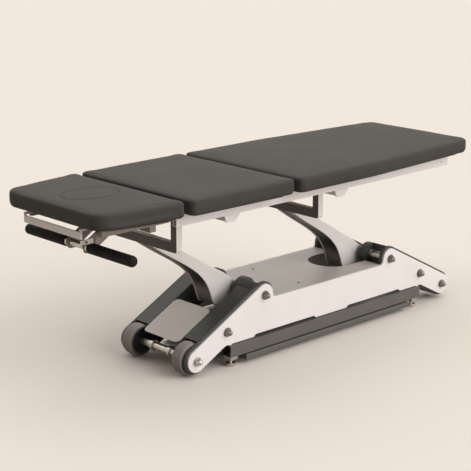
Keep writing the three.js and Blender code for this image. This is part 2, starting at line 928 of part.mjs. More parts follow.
// The yoke at the arm's top: a bar across and an upright tine at each end with the pivot eye
function yoke(x, eyeGap) {
  const px = x - pivotRunX;
  const barZ = pivotZ - yokeBarDrop;
  const halfDepth = tineDepth / 2;
  const bar = block(
    px - halfDepth,
    px + halfDepth,
    -yokeOuter,
    yokeOuter,
    barZ - yokeBarHeight / 2,
    barZ + yokeBarHeight / 2,
  );
  const tines = [-1, 1].map((side) => {
    const y0 = side * (yokeOuter - tineThickness);
    const y1 = side * yokeOuter;
    const stem = block(px - halfDepth, px + halfDepth, y0, y1, barZ, pivotZ);
    const eye = rodY(px, pivotZ, yokeEye, y0, y1);
    const bore = rodY(
      px,
      pivotZ,
      running(pivotPinRadius + eyeGap, pinSides),
      y0 - side * overrun,
      y1 + side * overrun,
      pinSides,
    );
    return cut(join(stem, eye), bore);
  });
  return join(bar, ...tines);
}

function arm(end, eyeGap = 0) {
  const x = end * hubX;
  const body = plate(armShape(x), -armHalf, armHalf);
  const hollow = plate(armHollow(x), armWall - armHalf, armHalf - armWall);
  const shoulder = [-1, 1].map((side) => {
    return rodY(x, hubZ, hubRadius + overrun, side * armNeckHalf, side * (armHalf + overrun), roundSides);
  });
  const boss = rodY(x, hubZ, hubBoss, -armNeckHalf, armNeckHalf, roundSides);
  const bore = rodY(
    x,
    hubZ,
    running(axleRadius, pinSides),
    -armHalf - overrun,
    armHalf + overrun,
    pinSides,
  );
  const neck = cut(cut(body, hollow), ...shoulder);
  return cut(join(neck, boss, yoke(x, eyeGap)), bore);
}

// The head arm also has the short lever that the lift drive pushes, with its pin
function headArm() {
  const x = -hubX;
  const half = driveLeverThickness / 2;
  const z = hubZ - driveLever;
  const shape = rounded([
    [x - driveLeverEye, z - driveLeverEye, drivePinRadius],
    [x + driveLeverEye, z - driveLeverEye, drivePinRadius],
    [x + hubBoss, hubZ - axleRadius - driveLeverEye, 0],
    [x - hubBoss, hubZ - axleRadius - driveLeverEye, 0],
  ]);
  const reach = half + driveForkGap + driveForkCheek;
  const pin = rodY(x, z, drivePinRadius, -reach, reach, smallSides);
  return join(arm(-1), plate(shape, -half, half), pin);
}

// Lift drive: motor, gear housing and outer tube in one piece, and the pushing rod with its slotted fork
function driveBody() {
  const motor = rodX(0, driveZ, motorRadius, motorHead, motorFoot);
  const tube = rodX(0, driveZ, driveTubeRadius, driveTubeHead, motorHead + overrun, smallSides);
  const bore = rodX(
    0,
    driveZ,
    driveRodRadius + runningGap,
    driveTubeHead - overrun,
    motorHead - overrun,
    smallSides,
  );
  const tailHalf = driveClevisRadius / 2;
  const tail = block(
    motorFoot - overrun,
    driveClevisX,
    -tailHalf,
    tailHalf,
    driveZ - driveClevisRadius,
    driveZ + driveClevisRadius,
  );
  const eye = rodY(driveClevisX, driveZ, driveClevisRadius, -tailHalf, tailHalf, smallSides);
  const pinHole = rodY(
    driveClevisX,
    driveZ,
    driveClevisPin + seat,
    -tailHalf - overrun,
    tailHalf + overrun,
    smallSides,
  );
  return cut(join(cut(join(motor, tube), bore), tail, eye), pinHole);
}

function driveRod() {
  const half = driveLeverThickness / 2;
  const inner = half + driveForkGap / 2;
  const outer = inner + driveForkCheek;
  const front = -hubX - driveForkLength / 2;
  const back = -hubX + driveForkLength / 2;
  const rootStart = back + driveForkLength;
  const rootEnd = rootStart + driveForkRoot;
  const halfHeight = driveForkHeight / 2;
  const z0 = driveZ - halfHeight;
  const z1 = driveZ + halfHeight;
  const cheeks = [-1, 1].map((side) => block(front, rootEnd, side * inner, side * outer, z0, z1));
  const root = block(rootStart, rootEnd, -outer, outer, z0, z1);
  const rodEnd = motorHead - overrun - driveStroke;
  const rod = rodX(0, driveZ, driveRodRadius, rootStart, rodEnd, smallSides);
  const slotHalf = drivePinRadius + driveForkGap;
  const slotRise = driveSlotTravel + drivePinRadius + driveForkGap;
  const slot = block(
    -hubX - slotHalf,
    -hubX + slotHalf,
    -outer - overrun,
    outer + overrun,
    driveZ - slotRise,
    driveZ + slotRise,
  );
  return cut(join(root, rod, ...cheeks), slot);
}

function controlBox() {
  const bottom = baseRailTop;
  const body = block(boxX, boxX + boxLength, -boxWidth / 2, boxWidth / 2, bottom, bottom + boxHeight);
  const inletZ = bottom + boxHeight / 2;
  const socket = block(
    boxX + boxLength - inletDepth,
    boxX + boxLength + overrun,
    -inletWidth / 2,
    inletWidth / 2,
    inletZ - inletHeight / 2,
    inletZ + inletHeight / 2,
  );
  const footing = baseRailInnerY - seat;
  const footings = block(boxX, boxX + crossTubeWidth, -footing, footing, bottom - baseRailWall * 2, bottom);
  return cut(join(body, footings), socket);
}

// Top frame: straight rails with the hinge ears and the pivot pins of the arms
function topRail(side) {
  const tube = tubeX(
    railHeadX,
    railFootX,
    side * railInnerY,
    side * railOuterY,
    railBottom,
    railTop,
    railWall,
  );
  const innerFace = side * railInnerY;
  const earInner = side * (railInnerY - earThickness);
  const ear = join(
    block(tiltX, railHeadX + earRoot, innerFace, earInner, tiltZ - earHeight, tiltZ - tiltDrop),
    rodY(tiltX, tiltZ, eyeRadius, innerFace, earInner, smallSides),
  );
  const earBore = rodY(
    tiltX,
    tiltZ,
    tiltPinRadius + seat,
    innerFace + side * overrun,
    earInner - side * overrun,
    pinSides,
  );
  const pins = [-1, 1].map((end) => {
    const x = end * hubX - pivotRunX;
    return rodY(
      x,
      pivotZ,
      pivotPinRadius,
      side * (railInnerY + railWall),
      side * (railInnerY - pivotPinReach),
      pinSides,
    );
  });
  const hole = rodY(
    railHoleX,
    railTop - railHoleDrop,
    railHole,
    side * (railOuterY - railWall * 2),
    side * (railOuterY + overrun),
    smallSides,
  );
  return join(cut(join(tube, ear), earBore, hole), ...pins);
}

// A cross member under the rails, hung from a lug at each end
function topMember(x) {
  const lugOuter = railOuterY;
  const lugInner = lugOuter - lugThickness;
  const top = railBottom - seat;
  const bottom = top - memberHeight;
  const bar = block(x - memberLength / 2, x + memberLength / 2, -lugInner, lugInner, bottom, top);
  const lugs = [-1, 1].map((side) => {
    const shape = rounded([
      [x - lugBottomLength / 2, top - lugDrop, lugThickness * 2],
      [x + lugBottomLength / 2, top - lugDrop, lugThickness * 2],
      [x + lugTopLength / 2, top, 0],
      [x - lugBottomLength / 2 - lugThickness * 2, top, 0],
    ]);
    return plate(shape, side * lugInner, side * lugOuter);
  });
  return join(bar, ...lugs);
}

// Height of the gas spring's axis: half-way between the highest and lowest place of the lever's pin
const springZ = tiltZ - springLever + springRise / 2;

// The head cross member also has the clevis that holds the gas spring's closed end
function headMember() {
  const base = topMember(headMemberX);
  const cheekInner = springEyeWidth / 2 + seat;
  const cheekOuter = cheekInner + springClevis;
  const cheeks = [-1, 1].map((side) => {
    return block(
      headMemberX - springCylinderRadius,
      headMemberX + springCylinderRadius,
      side * cheekInner,
      side * cheekOuter,
      railBottom - seat - railWall,
      springZ + springCylinderRadius,
    );
  });
  const pin = rodY(headMemberX, springZ, springPinRadius, -cheekOuter, cheekOuter, smallSides);
  return join(base, ...cheeks, pin);
}

function gasSpringCylinder() {
  const back = springFrontX + springCylinderLength;
  const half = springEyeWidth / 2;
  const body = rodX(0, springZ, springCylinderRadius, springFrontX, back, smallSides);
  const boreEnd = springFrontX + springCylinderLength - springClevis * 2;
  const bore = rodX(0, springZ, springRodRadius + runningGap, springFrontX - overrun, boreEnd, smallSides);
  const tail = rodX(0, springZ, half, back - springClevis, headMemberX, smallSides);
  const eye = rodY(headMemberX, springZ, springCylinderRadius - seat, -half, half, smallSides);
  const hole = rodY(
    headMemberX,
    springZ,
    springPinRadius + seat,
    -half - overrun,
    half + overrun,
    smallSides,
  );
  return cut(join(cut(body, bore), tail, eye), hole);
}

// Place of the gas spring's pin on the head section's lever
const leverAngle = THREE.MathUtils.degToRad(springLeverAngle);
const springPinX = tiltX - springLever * Math.sin(leverAngle);
const springPinZ = tiltZ - springLever * Math.cos(leverAngle);

function gasSpringRod() {
  const half = springEyeWidth / 2;
  const slotHalf = springPinRadius + springSlotGap;
  const slotRise = springRise / 2 + springPinRadius + springSlotGap;
  const wall = springPinRadius;
  const eye = block(
    springPinX - slotHalf - wall,
    springPinX + slotHalf + wall,
    -half,
    half,
    springZ - slotRise - wall,
    springZ + slotRise + wall,
  );
  const slot = block(
    springPinX - slotHalf,
    springPinX + slotHalf,
    -half - overrun,
    half + overrun,
    springZ - slotRise,
    springZ + slotRise,
  );
  const rod = rodX(
    0,
    springZ,
    springRodRadius,
    springPinX + slotHalf,
    springFrontX + springStroke * 2,
    smallSides,
  );
  return join(cut(eye, slot), rod);
}

function tiltPin() {
  return rodY(tiltX, tiltZ, tiltPinRadius, -railOuterY, railOuterY, pinSides);
}

// Head section frame: two side rails, a rear bar with the gas spring's lever, and a middle plate
function headFrame() {
  const inner = railInnerY + seat * 2;
  const outer = inner + headRailWidth;
  const top = railTop;
  const bottom = top - headRailHeight;
  const pieces = [];
  [-1, 1].forEach((side) => {
    pieces.push(block(headRailTip, tiltX, side * inner, side * outer, bottom, top));
    pieces.push(rodY(tiltX, tiltZ, eyeRadius, side * inner, side * outer, smallSides));
  });
  const barHalf = rearBarWidth / 2;
  const rearTop = top - rearBarDrop;
  const rearBottom = rearTop - rearBarWidth;
  pieces.push(block(rearBarX - barHalf, rearBarX + barHalf, -inner, inner, rearBottom, rearTop));
  const midHalf = midBarWidth / 2;
  pieces.push(block(midBarX - midHalf, midBarX + midHalf, -outer, outer, bottom - midBarHeight, bottom));
  const cheekInner = springEyeWidth / 2 + springSlotGap;
  const cheekOuter = cheekInner + springClevis;
  [-1, 1].forEach((side) => {
    const shape = rounded([
      [rearBarX - barHalf, rearBottom, 0],
      [springPinX - springPinRadius * 2, springPinZ - springPinRadius * 2, springPinRadius],
      [springPinX + springPinRadius * 2, springPinZ - springPinRadius * 2, springPinRadius],
      [springPinX + springPinRadius * 2, springPinZ + springPinRadius * 2, springPinRadius],
      [rearBarX + barHalf, rearTop, 0],
      [rearBarX - barHalf, rearTop, 0],
    ]);
    pieces.push(plate(shape, side * cheekInner, side * cheekOuter));
  });
  pieces.push(rodY(springPinX, springPinZ, springPinRadius, -cheekOuter, cheekOuter, smallSides));
  pieces.push(...handleBrackets(bottom - midBarHeight / 2));
  pieces.push(leverBracket(bottom));
  const whole = join(...pieces);
  const bore = rodY(
    tiltX,
    tiltZ,
    running(tiltPinRadius, pinSides),
    -outer - overrun,
    outer + overrun,
    pinSides,
  );
  return cut(whole, bore);
}

// Triangular plates from the middle plate down to the handle tube
function handleBrackets(top) {
  return [-1, 1].map((side) => {
    const shape = rounded([
      [handleX - bracketFoot, handleZ + bracketFoot / 2, handleRadius],
      [handleX - bracketFoot / 2, handleZ - bracketFoot, handleRadius],
      [handleX + bracketFoot, handleZ - bracketFoot, handleRadius],
      [bracketTopRear, top, 0],
      [bracketTopHead, top, 0],
    ]);
    const y0 = side * bracketInner;
    const y1 = side * (bracketInner + bracketThickness);
    const hole = rodY(
      handleX,
      handleZ,
      handleRadius + seat,
      y0 - side * overrun,
      y1 + side * overrun,
      smallSides,
    );
    return cut(plate(shape, y0, y1), hole);
  });
}

// A tab on the near side rail that carries the pivot of the release lever
function leverBracket(bottom) {
  const inner = railInnerY + seat * 2;
  const y = -leverSide;
  const pivotZone = bottom - leverPivotDrop;
  const span = leverHalfHeight * 2;
  const strap = block(leverPivotX, leverPivotX + span, -inner - seat, y, bottom, bottom + leverThickness);
  const tab = block(
    leverPivotX - leverHalfHeight,
    leverPivotX + span,
    y - leverThickness,
    y,
    pivotZone - leverHalfHeight,
    bottom + leverThickness,
  );
  const pin = rodY(leverPivotX, pivotZone, leverPinRadius, y, y + leverPinLength, smallSides);
  return join(strap, tab, pin);
}

// Release lever of the gas spring, with the curved slot of its stop
const leverSlotShares = [0.52, 0.74];

function releaseLever() {
  const z = railTop - headRailHeight - leverPivotDrop;
  const y0 = -leverSide + seat;
  const y1 = y0 + leverThickness;
  const shape = rounded([
    [leverPivotX + leverHalfHeight, z - leverHalfHeight, leverHalfHeight / 2],
    [leverPivotX + leverHalfHeight, z + leverHalfHeight, leverHalfHeight / 2],
    [leverPivotX - leverPlate, z + leverHalfHeight, leverHalfHeight / 2],
    [leverPivotX - leverPlate, z - leverHalfHeight, leverHalfHeight / 2],
  ]);
  const near = leverPlate * leverSlotShares[0];
  const far = leverPlate * leverSlotShares[1];
  const slot = rounded([
    [leverPivotX - near, z - leverHalfHeight / 2, 0],
    [leverPivotX - near, z + leverHalfHeight / 2, 0],
    [leverPivotX - far, z + leverHalfHeight / 2, 0],
    [leverPivotX - far, z - leverHalfHeight / 2, 0],
  ]);
  const bore = rodY(
    leverPivotX,
    z,
    running(leverPinRadius, smallSides),
    y0 - overrun,
    y1 + overrun,
    smallSides,
  );
  return cut(plate(shape, y0, y1), plate(slot, y0 - overrun, y1 + overrun), bore);
}

function endBar() {
  const thick = endBarThickness / 2;
  const bar = block(
    endBarX - thick,
    endBarX + thick,
    -endBarHalf,
    endBarHalf,
    endBarTop - endBarHeight,
    endBarTop,
  );
  const uprights = [-1, 1].map((side) => {
    const y0 = side * endBarHalf;
    const y1 = side * (endBarHalf - endBarThickness);
    const reach = headEnd + boardInset + endBarUpright;
    const post = block(endBarX - thick, endBarX + thick, y0, y1, endBarTop - endBarHeight, railTop);
    const tab = block(endBarX - thick, reach, y0, y1, railTop - endBarThickness, railTop);
    return join(post, tab);
  });
  return join(bar, ...uprights);
}

function handleTube() {
  const tube = rodY(
    handleX,
    handleZ,
    handleRadius,
    gripWall - handleHalf,
    handleHalf - gripWall,
    smallSides,
  );
  const collars = [-1, 1].map((side) => {
    const y1 = side * (gripInner - seat);
    return rodY(handleX, handleZ, collarRadius, y1 - side * collarLength, y1);
  });
  return join(tube, ...collars);
}

// Foam grip: a sleeve with a rounded closed end
function grip(side) {
  const inner = side * gripInner;
  const round = gripRadius / 3;
  const profile = [new THREE.Vector2(handleRadius + seat, gripInner)];
  profile.push(new THREE.Vector2(gripRadius - round / 2, gripInner));
  profile.push(new THREE.Vector2(gripRadius, gripInner + round / 2));
  for (let i = 0; i <= domeSteps; i++) {
    const angle = (Math.PI / 2) * (i / domeSteps);
    const y = handleHalf - round + round * Math.sin(angle);
    profile.push(new THREE.Vector2(gripRadius - round + round * Math.cos(angle), y));
  }
  profile.push(new THREE.Vector2(0, handleHalf));
  profile.push(new THREE.Vector2(0, handleHalf - gripWall + seat));
  profile.push(new THREE.Vector2(handleRadius + seat, handleHalf - gripWall + seat));
  profile.push(new THREE.Vector2(handleRadius + seat, gripInner));
  const geometry = new THREE.LatheGeometry(profile, roundSides);
  if (inner < 0) geometry.rotateX(Math.PI);
  return solid(geometry.translate(handleX, 0, handleZ));
}

// Cushions and boards
function headCushion() {
  const whole = cushion(headOutline(0), cushionBottom, topHeight);
  return cut(whole, slab(faceOval(0), cushionBottom - overrun, topHeight + overrun, roundSides / 2));
}

function facePlug() {
  const upper = slab(faceOval(faceClearance), cushionBottom, topHeight - seat, roundSides / 2);
  const handle = block(
    faceMiddle - plugHandleWidth / 2,
    faceMiddle + plugHandleWidth / 2,
    -plugHandleWidth,
    plugHandleWidth,
    cushionBottom - plugHandleDrop,
    cushionBottom + seat,
  );
  return join(upper, handle);
}

function board(outline) {
  return slab(outline, railTop + seat, cushionBottom - seat);
}

function headBoard() {
  const hole = slab(faceOval(faceLedge), railTop - overrun, cushionBottom + overrun, roundSides / 2);
  return cut(board(headOutline(boardInset)), hole);
}

// Materials
const finishes = {
  leather: { color: 0x5f5c57, roughness: 0.6, metalness: 0 },
  ply: { color: 0x54483f, roughness: 0.8, metalness: 0 },
  whitePaint: { color: 0xefe7e3, roughness: 0.35, metalness: 0 },
  greyPaint: { color: 0xd6d0cb, roughness: 0.35, metalness: 0 },
  coverPaint: { color: 0xc5bdb6, roughness: 0.4, metalness: 0 },
  charcoal: { color: 0x3e423e, roughness: 0.45, metalness: 0 },
  baseGrey: { color: 0x5f5e58, roughness: 0.5, metalness: 0 },
  bolt: { color: 0x84796f, roughness: 0.4, metalness: 0.8 },
  steel: { color: 0xb5b0aa, roughness: 0.3, metalness: 1 },
  rubber: { color: 0x7b726b, roughness: 0.8, metalness: 0 },
  foam: { color: 0x171615, roughness: 0.9, metalness: 0 },
  blackPlastic: { color: 0x26262a, roughness: 0.5, metalness: 0 },
};

const table = new THREE.Group();

function add(name, body, finish) {
  const mesh = new THREE.Mesh(geometryOf(body), new THREE.MeshStandardMaterial(finishes[finish]));
  mesh.name = name;
  table.add(mesh);
}

const sides = [
  ["near", -1],
  ["far", 1],
];
const ends = [
  ["head", -1],
  ["foot", 1],
];

sides.forEach(([sideName, side]) => {
  add(`side_plate_${sideName}`, sidePlate(side), "whitePaint");
  add(`base_rail_${sideName}`, baseRail(side), "baseGrey");
  add(`foot_switch_bar_${sideName}`, pedalBar(side), "baseGrey");
  add(`wheel_hub_${sideName}`, wheelHub(side), "blackPlastic");
  add(`wheel_tyre_${sideName}`, tyre(side), "rubber");
  add(`top_rail_${sideName}`, topRail(side), "whitePaint");
  add(`handle_grip_${sideName}`, grip(side), "foam");
  add(`cover_screw_${sideName}`, coverScrew(side), "bolt");
  ends.forEach(([endName, end]) => {
    add(`${endName}_beam_${sideName}`, beam(end, side), "charcoal");
    add(`bearing_drum_${endName}_${sideName}`, bearingDrum(end, side), "charcoal");
    add(`levelling_foot_${endName}_${sideName}`, levellingFoot(end, side), "steel");
  });
});
ends.forEach(([endName, end]) => add(`hub_axle_${endName}`, hubAxle(end), "bolt"));
add("wheel_axle", wheelAxle(), "steel");
add("tie_rod_head", throughShaft(-midBoltX, midBoltZ, rodRadius), "bolt");
add("tie_rod_foot", throughShaft(midBoltX, midBoltZ, rodRadius), "bolt");
add("tie_rod_foot_end", throughShaft(endBoltX, endBoltZ, rodRadius), "bolt");
add("base_cover", baseCover(), "coverPaint");
add("head_end_panel", headEndPanel(), "coverPaint");
add("cross_tube_head", crossTube(-crossTubeEndX), "baseGrey");
add("cross_tube_middle", driveCrossTube(), "baseGrey");
add("cross_tube_foot", crossTube(crossTubeEndX), "baseGrey");
add("lift_drive_body", driveBody(), "blackPlastic");
add("lift_drive_rod", driveRod(), "steel");
add("control_box", controlBox(), "blackPlastic");
add("head_arm", headArm(), "greyPaint");
add("foot_arm", arm(1, openPivotGap), "greyPaint");
add("top_member_head", headMember(), "whitePaint");
add("top_member_foot", topMember(footMemberX), "whitePaint");
add("middle_board", board(middleOutline(boardInset)), "ply");
add("leg_board", board(legOutline(boardInset)), "ply");
add("middle_cushion", cushion(middleOutline(0), cushionBottom, topHeight), "leather");
add("leg_cushion", cushion(legOutline(0), cushionBottom, topHeight), "leather");
add("gas_spring_cylinder", gasSpringCylinder(), "blackPlastic");
add("tilt_hinge_pin", tiltPin(), "steel");
add("gas_spring_rod", gasSpringRod(), "steel");
add("head_frame", headFrame(), "coverPaint");
add("head_board", headBoard(), "ply");
add("head_cushion", headCushion(), "leather");
add("face_plug", facePlug(), "leather");
add("head_end_bar", endBar(), "coverPaint");
add("handle_tube", handleTube(), "steel");
add("release_lever", releaseLever(), "steel");

table.position.x = -(headEnd + footEnd) / 2;

export default table;
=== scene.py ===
# %% [markdown]
# # A height-adjustable treatment table
# The real object is a treatment table of three padded sections. A low base with an electric drive carries
# two swinging arms, and the arms carry the top frame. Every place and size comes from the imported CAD
# model, which is loaded first and stays fixed. Blender adds what the solids leave out: the foam's swell,
# the soft edges of paint over steel, the grain of the cover, and the light.

# %% Load the frame
import json
import math

import bmesh
import bpy
import numpy as np
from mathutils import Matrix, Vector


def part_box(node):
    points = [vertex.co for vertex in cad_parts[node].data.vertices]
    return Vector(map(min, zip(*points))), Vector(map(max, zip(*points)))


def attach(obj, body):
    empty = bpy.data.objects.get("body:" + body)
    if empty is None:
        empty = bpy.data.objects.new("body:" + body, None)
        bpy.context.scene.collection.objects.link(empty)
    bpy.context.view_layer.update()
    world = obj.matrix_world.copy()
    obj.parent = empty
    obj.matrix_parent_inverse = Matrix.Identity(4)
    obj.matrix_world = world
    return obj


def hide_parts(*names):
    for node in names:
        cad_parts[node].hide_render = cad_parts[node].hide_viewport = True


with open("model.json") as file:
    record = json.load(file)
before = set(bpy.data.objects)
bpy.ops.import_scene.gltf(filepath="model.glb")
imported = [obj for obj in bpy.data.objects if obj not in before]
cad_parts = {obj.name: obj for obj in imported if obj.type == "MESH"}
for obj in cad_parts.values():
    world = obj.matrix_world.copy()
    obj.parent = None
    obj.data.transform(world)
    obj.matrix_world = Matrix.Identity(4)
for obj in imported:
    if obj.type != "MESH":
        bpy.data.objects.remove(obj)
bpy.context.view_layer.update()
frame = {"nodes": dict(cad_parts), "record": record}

nodes = frame["nodes"]

# %% [markdown]
# ## Units and places
# The drawings are in millimetres, with X measured from the middle of the base, where the object is
# symmetric. The frame is in metres, with its origin under the middle of the table's outer box. One helper
# takes points from the first to the second, so that every piece below is written in the drawing's
# numbers. The middle of the base is read from a side plate and not typed in, so that the scene follows
# the CAD if the table's top changes.

# %% From drawing to frame
MM = 0.001
plate_low, plate_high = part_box("side_plate_near")
BASE_MIDDLE = np.array([(plate_low[0] + plate_high[0]) / 2, 0.0, 0.0])
NEAR, FAR = -1, 1
HEAD, FOOT = -1, 1
SIDES = {"near": NEAR, "far": FAR}
ENDS = {"head": HEAD, "foot": FOOT}


def to_frame(points):
    """Drawing points in millimetres to frame points in metres: scaled, then moved by the base's
    middle."""
    return np.asarray(points, float) * MM + BASE_MIDDLE


print("middle of the base at X", round(float(BASE_MIDDLE[0]), 4))

# %% [markdown]
# ## The camera
# The photo's camera was solved from the table's own straight edges. It stands a good five metres away at
# the head end, looks down by about fifteen degrees, and has a long lens. A long lens keeps parallel edges
# nearly parallel, which is why the table looks so calm. The camera is made first, so that each later
# piece can be judged from the photo's own angle.

# %% Camera
CAMERA_PLACE = (-3.6207, -3.7311, 1.8201)
CAMERA_TILT = 74.90
CAMERA_TURN = -43.24
CAMERA_LENS = 104.04
SENSOR_WIDTH = 36.0
CAMERA_FAR = 200.0

camera = bpy.data.objects.new("camera", bpy.data.cameras.new("camera"))
bpy.context.scene.collection.objects.link(camera)
camera.location = CAMERA_PLACE
camera.rotation_euler = (math.radians(CAMERA_TILT), 0, math.radians(CAMERA_TURN))
camera.data.lens = CAMERA_LENS
camera.data.sensor_width = SENSOR_WIDTH
camera.data.clip_end = CAMERA_FAR
bpy.context.scene.camera = camera
print("camera at", CAMERA_PLACE)

# %% [markdown]
# ## Shader maths as Python
# A finish is a small machine of nodes. Written out node by node it is long and hard to read, so three
# small classes do the wiring. `Value` wraps a node's output and adds a Math node for each Python
# operator, so that `1 - mask` works. `Nodes` holds a tree, and its `node` method makes any node: the type
# first, then its settings, then the values or links of its sockets. `Finish` is such a tree for one
# material, and what is the same all over a surface is set on its shader. The sky is a `Nodes` too.


# %% Value, Nodes and Finish
class Value:
    """A number, colour or vector that varies over a surface: one output socket of a node in a tree."""

    def __init__(self, nodes, socket):
        self.nodes = nodes
        self.socket = socket

    def maths(self, operation, *values):
        """One Math node with these inputs, in order."""
        return self.nodes.node("ShaderNodeMath", {"operation": operation}, dict(enumerate(values)))

    def __add__(self, other):
        return self.maths("ADD", self, other)

    def __radd__(self, other):
        return self.maths("ADD", other, self)

    def __sub__(self, other):
        return self.maths("SUBTRACT", self, other)

    def __rsub__(self, other):
        return self.maths("SUBTRACT", other, self)

    def __mul__(self, other):
        return self.maths("MULTIPLY", self, other)

    def __rmul__(self, other):
        return self.maths("MULTIPLY", other, self)

    def rise(self, low, high, start=0.0, end=1.0):
        """A soft step: start up to low, end from high on, and an S-curve between them."""
        values = {0: self, 1: low, 2: high, 3: start, 4: end}
        return self.nodes.node("ShaderNodeMapRange", {"interpolation_type": "SMOOTHSTEP"}, values)


def linear(code):
    """A colour written as six hex digits, as the linear numbers that a shader takes: each share c of full
    becomes c / 12.92 below 0.04045, and ((c + 0.055) / 1.055) to the power 2.4 above it."""
    c = np.array([int(code[i : i + 2], 16) for i in (0, 2, 4)]) / 255
    c = np.where(c <= 0.04045, c / 12.92, ((c + 0.055) / 1.055) ** 2.4)
    return (*c.tolist(), 1.0)


class Nodes:
    """A tree of nodes, and the one way to add to it."""

    def __init__(self, tree):
        self.tree = tree

    def feed(self, node, values):
        """Links or sets each socket of a node, by its name or its number."""
        for key, value in values.items():
            if isinstance(value, Value):
                self.tree.links.new(value.socket, node.inputs[key])
            else:
                node.inputs[key].default_value = value

    def node(self, kind, settings=None, values=None, output=0):
        """A node of this type, with its settings made first, then its sockets; gives the output asked
        for."""
        node = self.tree.nodes.new(kind)
        for key, value in (settings or {}).items():
            setattr(node, key, value)
        self.feed(node, values or {})
        return Value(self, node.outputs[output])


class Finish(Nodes):
    """One painted, sewn or moulded finish: a material with a Principled shader and the nodes that vary
    it."""

    def __init__(self, name, slot, constants):
        self.slot = slot
        self.material = bpy.data.materials.new(name)
        self.material.use_nodes = True
        super().__init__(self.material.node_tree)
        self.shader = self.tree.nodes["Principled BSDF"]
        self.feed(self.shader, constants)

    def place(self, scale=(1, 1, 1), middle=(0, 0, 0)):
        """The surface's place in object coordinates, moved so that middle is 0 and then stretched by
        scale."""
        where = self.node("ShaderNodeTexCoord", output="Object")
        moved = self.node("ShaderNodeVectorMath", {"operation": "SUBTRACT"}, {0: where, 1: middle})
        return self.node("ShaderNodeVectorMath", {"operation": "MULTIPLY"}, {0: moved, 1: scale})

    def noise(self, where, scale, detail=2.0, rough=0.5):
        """Cloudy noise between 0 and 1, with scale lumps in a metre."""
        values = {"Vector": where, "Scale": scale, "Detail": detail, "Roughness": rough}
        return self.node("ShaderNodeTexNoise", {}, values)

    def cells(self, where, scale, feature="F1"):
        """Distance to the nearest cell's middle, or to the cells' edges, with scale cells in a metre."""
        return self.node("ShaderNodeTexVoronoi", {"feature": feature}, {"Vector": where, "Scale": scale})

    def mix(self, share, first, second):
        """Two colours mixed by a share."""
        return self.node("ShaderNodeMix", {"data_type": "RGBA"}, {0: share, 6: first, 7: second}, output=2)

    def bump(self, height, depth, strength=1.0):
        """The shader's normal, tilted by a height of this many metres."""
        values = {"Height": height, "Distance": depth, "Strength": strength}
        self.feed(self.shader, {"Normal": self.node("ShaderNodeBump", {}, values)})


# %% [markdown]
# ## The cover of the cushions
# Artificial leather: a matte coat pressed with a fine grain, over cloth. The grain is a field of small
# cells about a millimetre and a half across, with a finer noise inside them, and it belongs in a bump.
# The colour drifts a little over hand-sized areas, because the coat is thinner where it is stretched. It
# hardly shines, so its highlights are kept weak.

# %% Leather
LEATHER = linear("484642")
LEATHER_WORN = linear("4d4b46")
LEATHER_DEEP = linear("43413e")
GRAIN_CELLS, GRAIN_DEPTH = 620.0, 0.00012


def leather_finish(name):
    """The cushions' cover."""
    finish = Finish(name, "cushion_leather", {"Specular IOR Level": 0.08})
    where = finish.place()
    drift = finish.noise(where, 5.0, 3.0)
    grain = finish.cells(where, GRAIN_CELLS, "DISTANCE_TO_EDGE")
    fine = finish.noise(where, 1900.0, 2.0)
    colour = finish.mix(drift.rise(0.35, 0.7), LEATHER_DEEP, LEATHER_WORN)
    colour = finish.mix(grain.rise(0.0, 0.12, 0.75, 0.35), colour, LEATHER)
    finish.feed(finish.shader, {"Base Color": colour, "Roughness": drift.rise(0.3, 0.7, 0.5, 0.6)})
    finish.bump(grain.rise(0.0, 0.22) + fine * 0.25, GRAIN_DEPTH, 0.45)
    return finish


leather = leather_finish("grey_leather")
print("leather", leather.slot)

# %% [markdown]
# ## Paint
# Powder coat is sprayed dry and baked, which leaves a satin skin with a faint orange peel, a ripple of a
# few millimetres. One function makes every paint on the table, because only the colour and the gloss
# differ. The colour varies by barely a percent, as a baked coat does.


# %% Powder coats
RIPPLE_LUMPS, SPECK_LUMPS, RIPPLE_DEPTH = 260.0, 1400.0, 0.00006


def paint_finish(name, slot, code, shade, gloss, coat=0.0, pale=None):
    """A powder coat of this colour, drifting towards the shade, with a gloss from 0 to 1. The last
    argument, when
    given, is (low, high, colour): below those heights in metres the colour runs over into a paler one, a
    painted reflection of the bright floor in the coat."""
    constants = {"Specular IOR Level": 0.45, "Coat Weight": coat, "Coat Roughness": 0.18}
    finish = Finish(name, slot, constants)
    where = finish.place()
    ripple = finish.noise(where, RIPPLE_LUMPS, 2.0, 0.45)
    speck = finish.noise(where, SPECK_LUMPS, 1.0)
    drift = finish.noise(where, 9.0, 3.0)
    colour = finish.mix(drift.rise(0.4, 0.8, 0.0, 0.6), linear(code), linear(shade))
    # Painted reflection: below the given heights the colour is mixed towards a paler one.
    if pale:
        height = finish.node("ShaderNodeSeparateXYZ", {}, {0: where}, output=2)
        colour = finish.mix(height.rise(*pale[:2], 0.8, 0.0), colour, linear(pale[2]))
    dull = 1 - gloss
    roughness = ripple.rise(0.2, 0.8, dull - 0.04, dull + 0.04)
    finish.feed(finish.shader, {"Base Color": colour, "Roughness": roughness})
    finish.bump(ripple + speck * 0.3, RIPPLE_DEPTH, 0.35)
    return finish


white = paint_finish("white_powder_coat", "white_paint", "fcf5f2", "f5eeea", 0.62)
grey = paint_finish("grey_powder_coat", "grey_paint", "e9e3de", "e0dad5", 0.62)
beige = paint_finish("beige_powder_coat", "beige_paint", "cdc5be", "c4bcb4", 0.58)
charcoal = paint_finish("charcoal_powder_coat", "charcoal_paint", "3d3f3b", "373935", 0.5)
base_grey = paint_finish("dark_grey_powder_coat", "base_grey_paint", "615e58", "57544f", 0.5)
print("paints", [f.material.name for f in (white, grey, beige, charcoal, base_grey)])

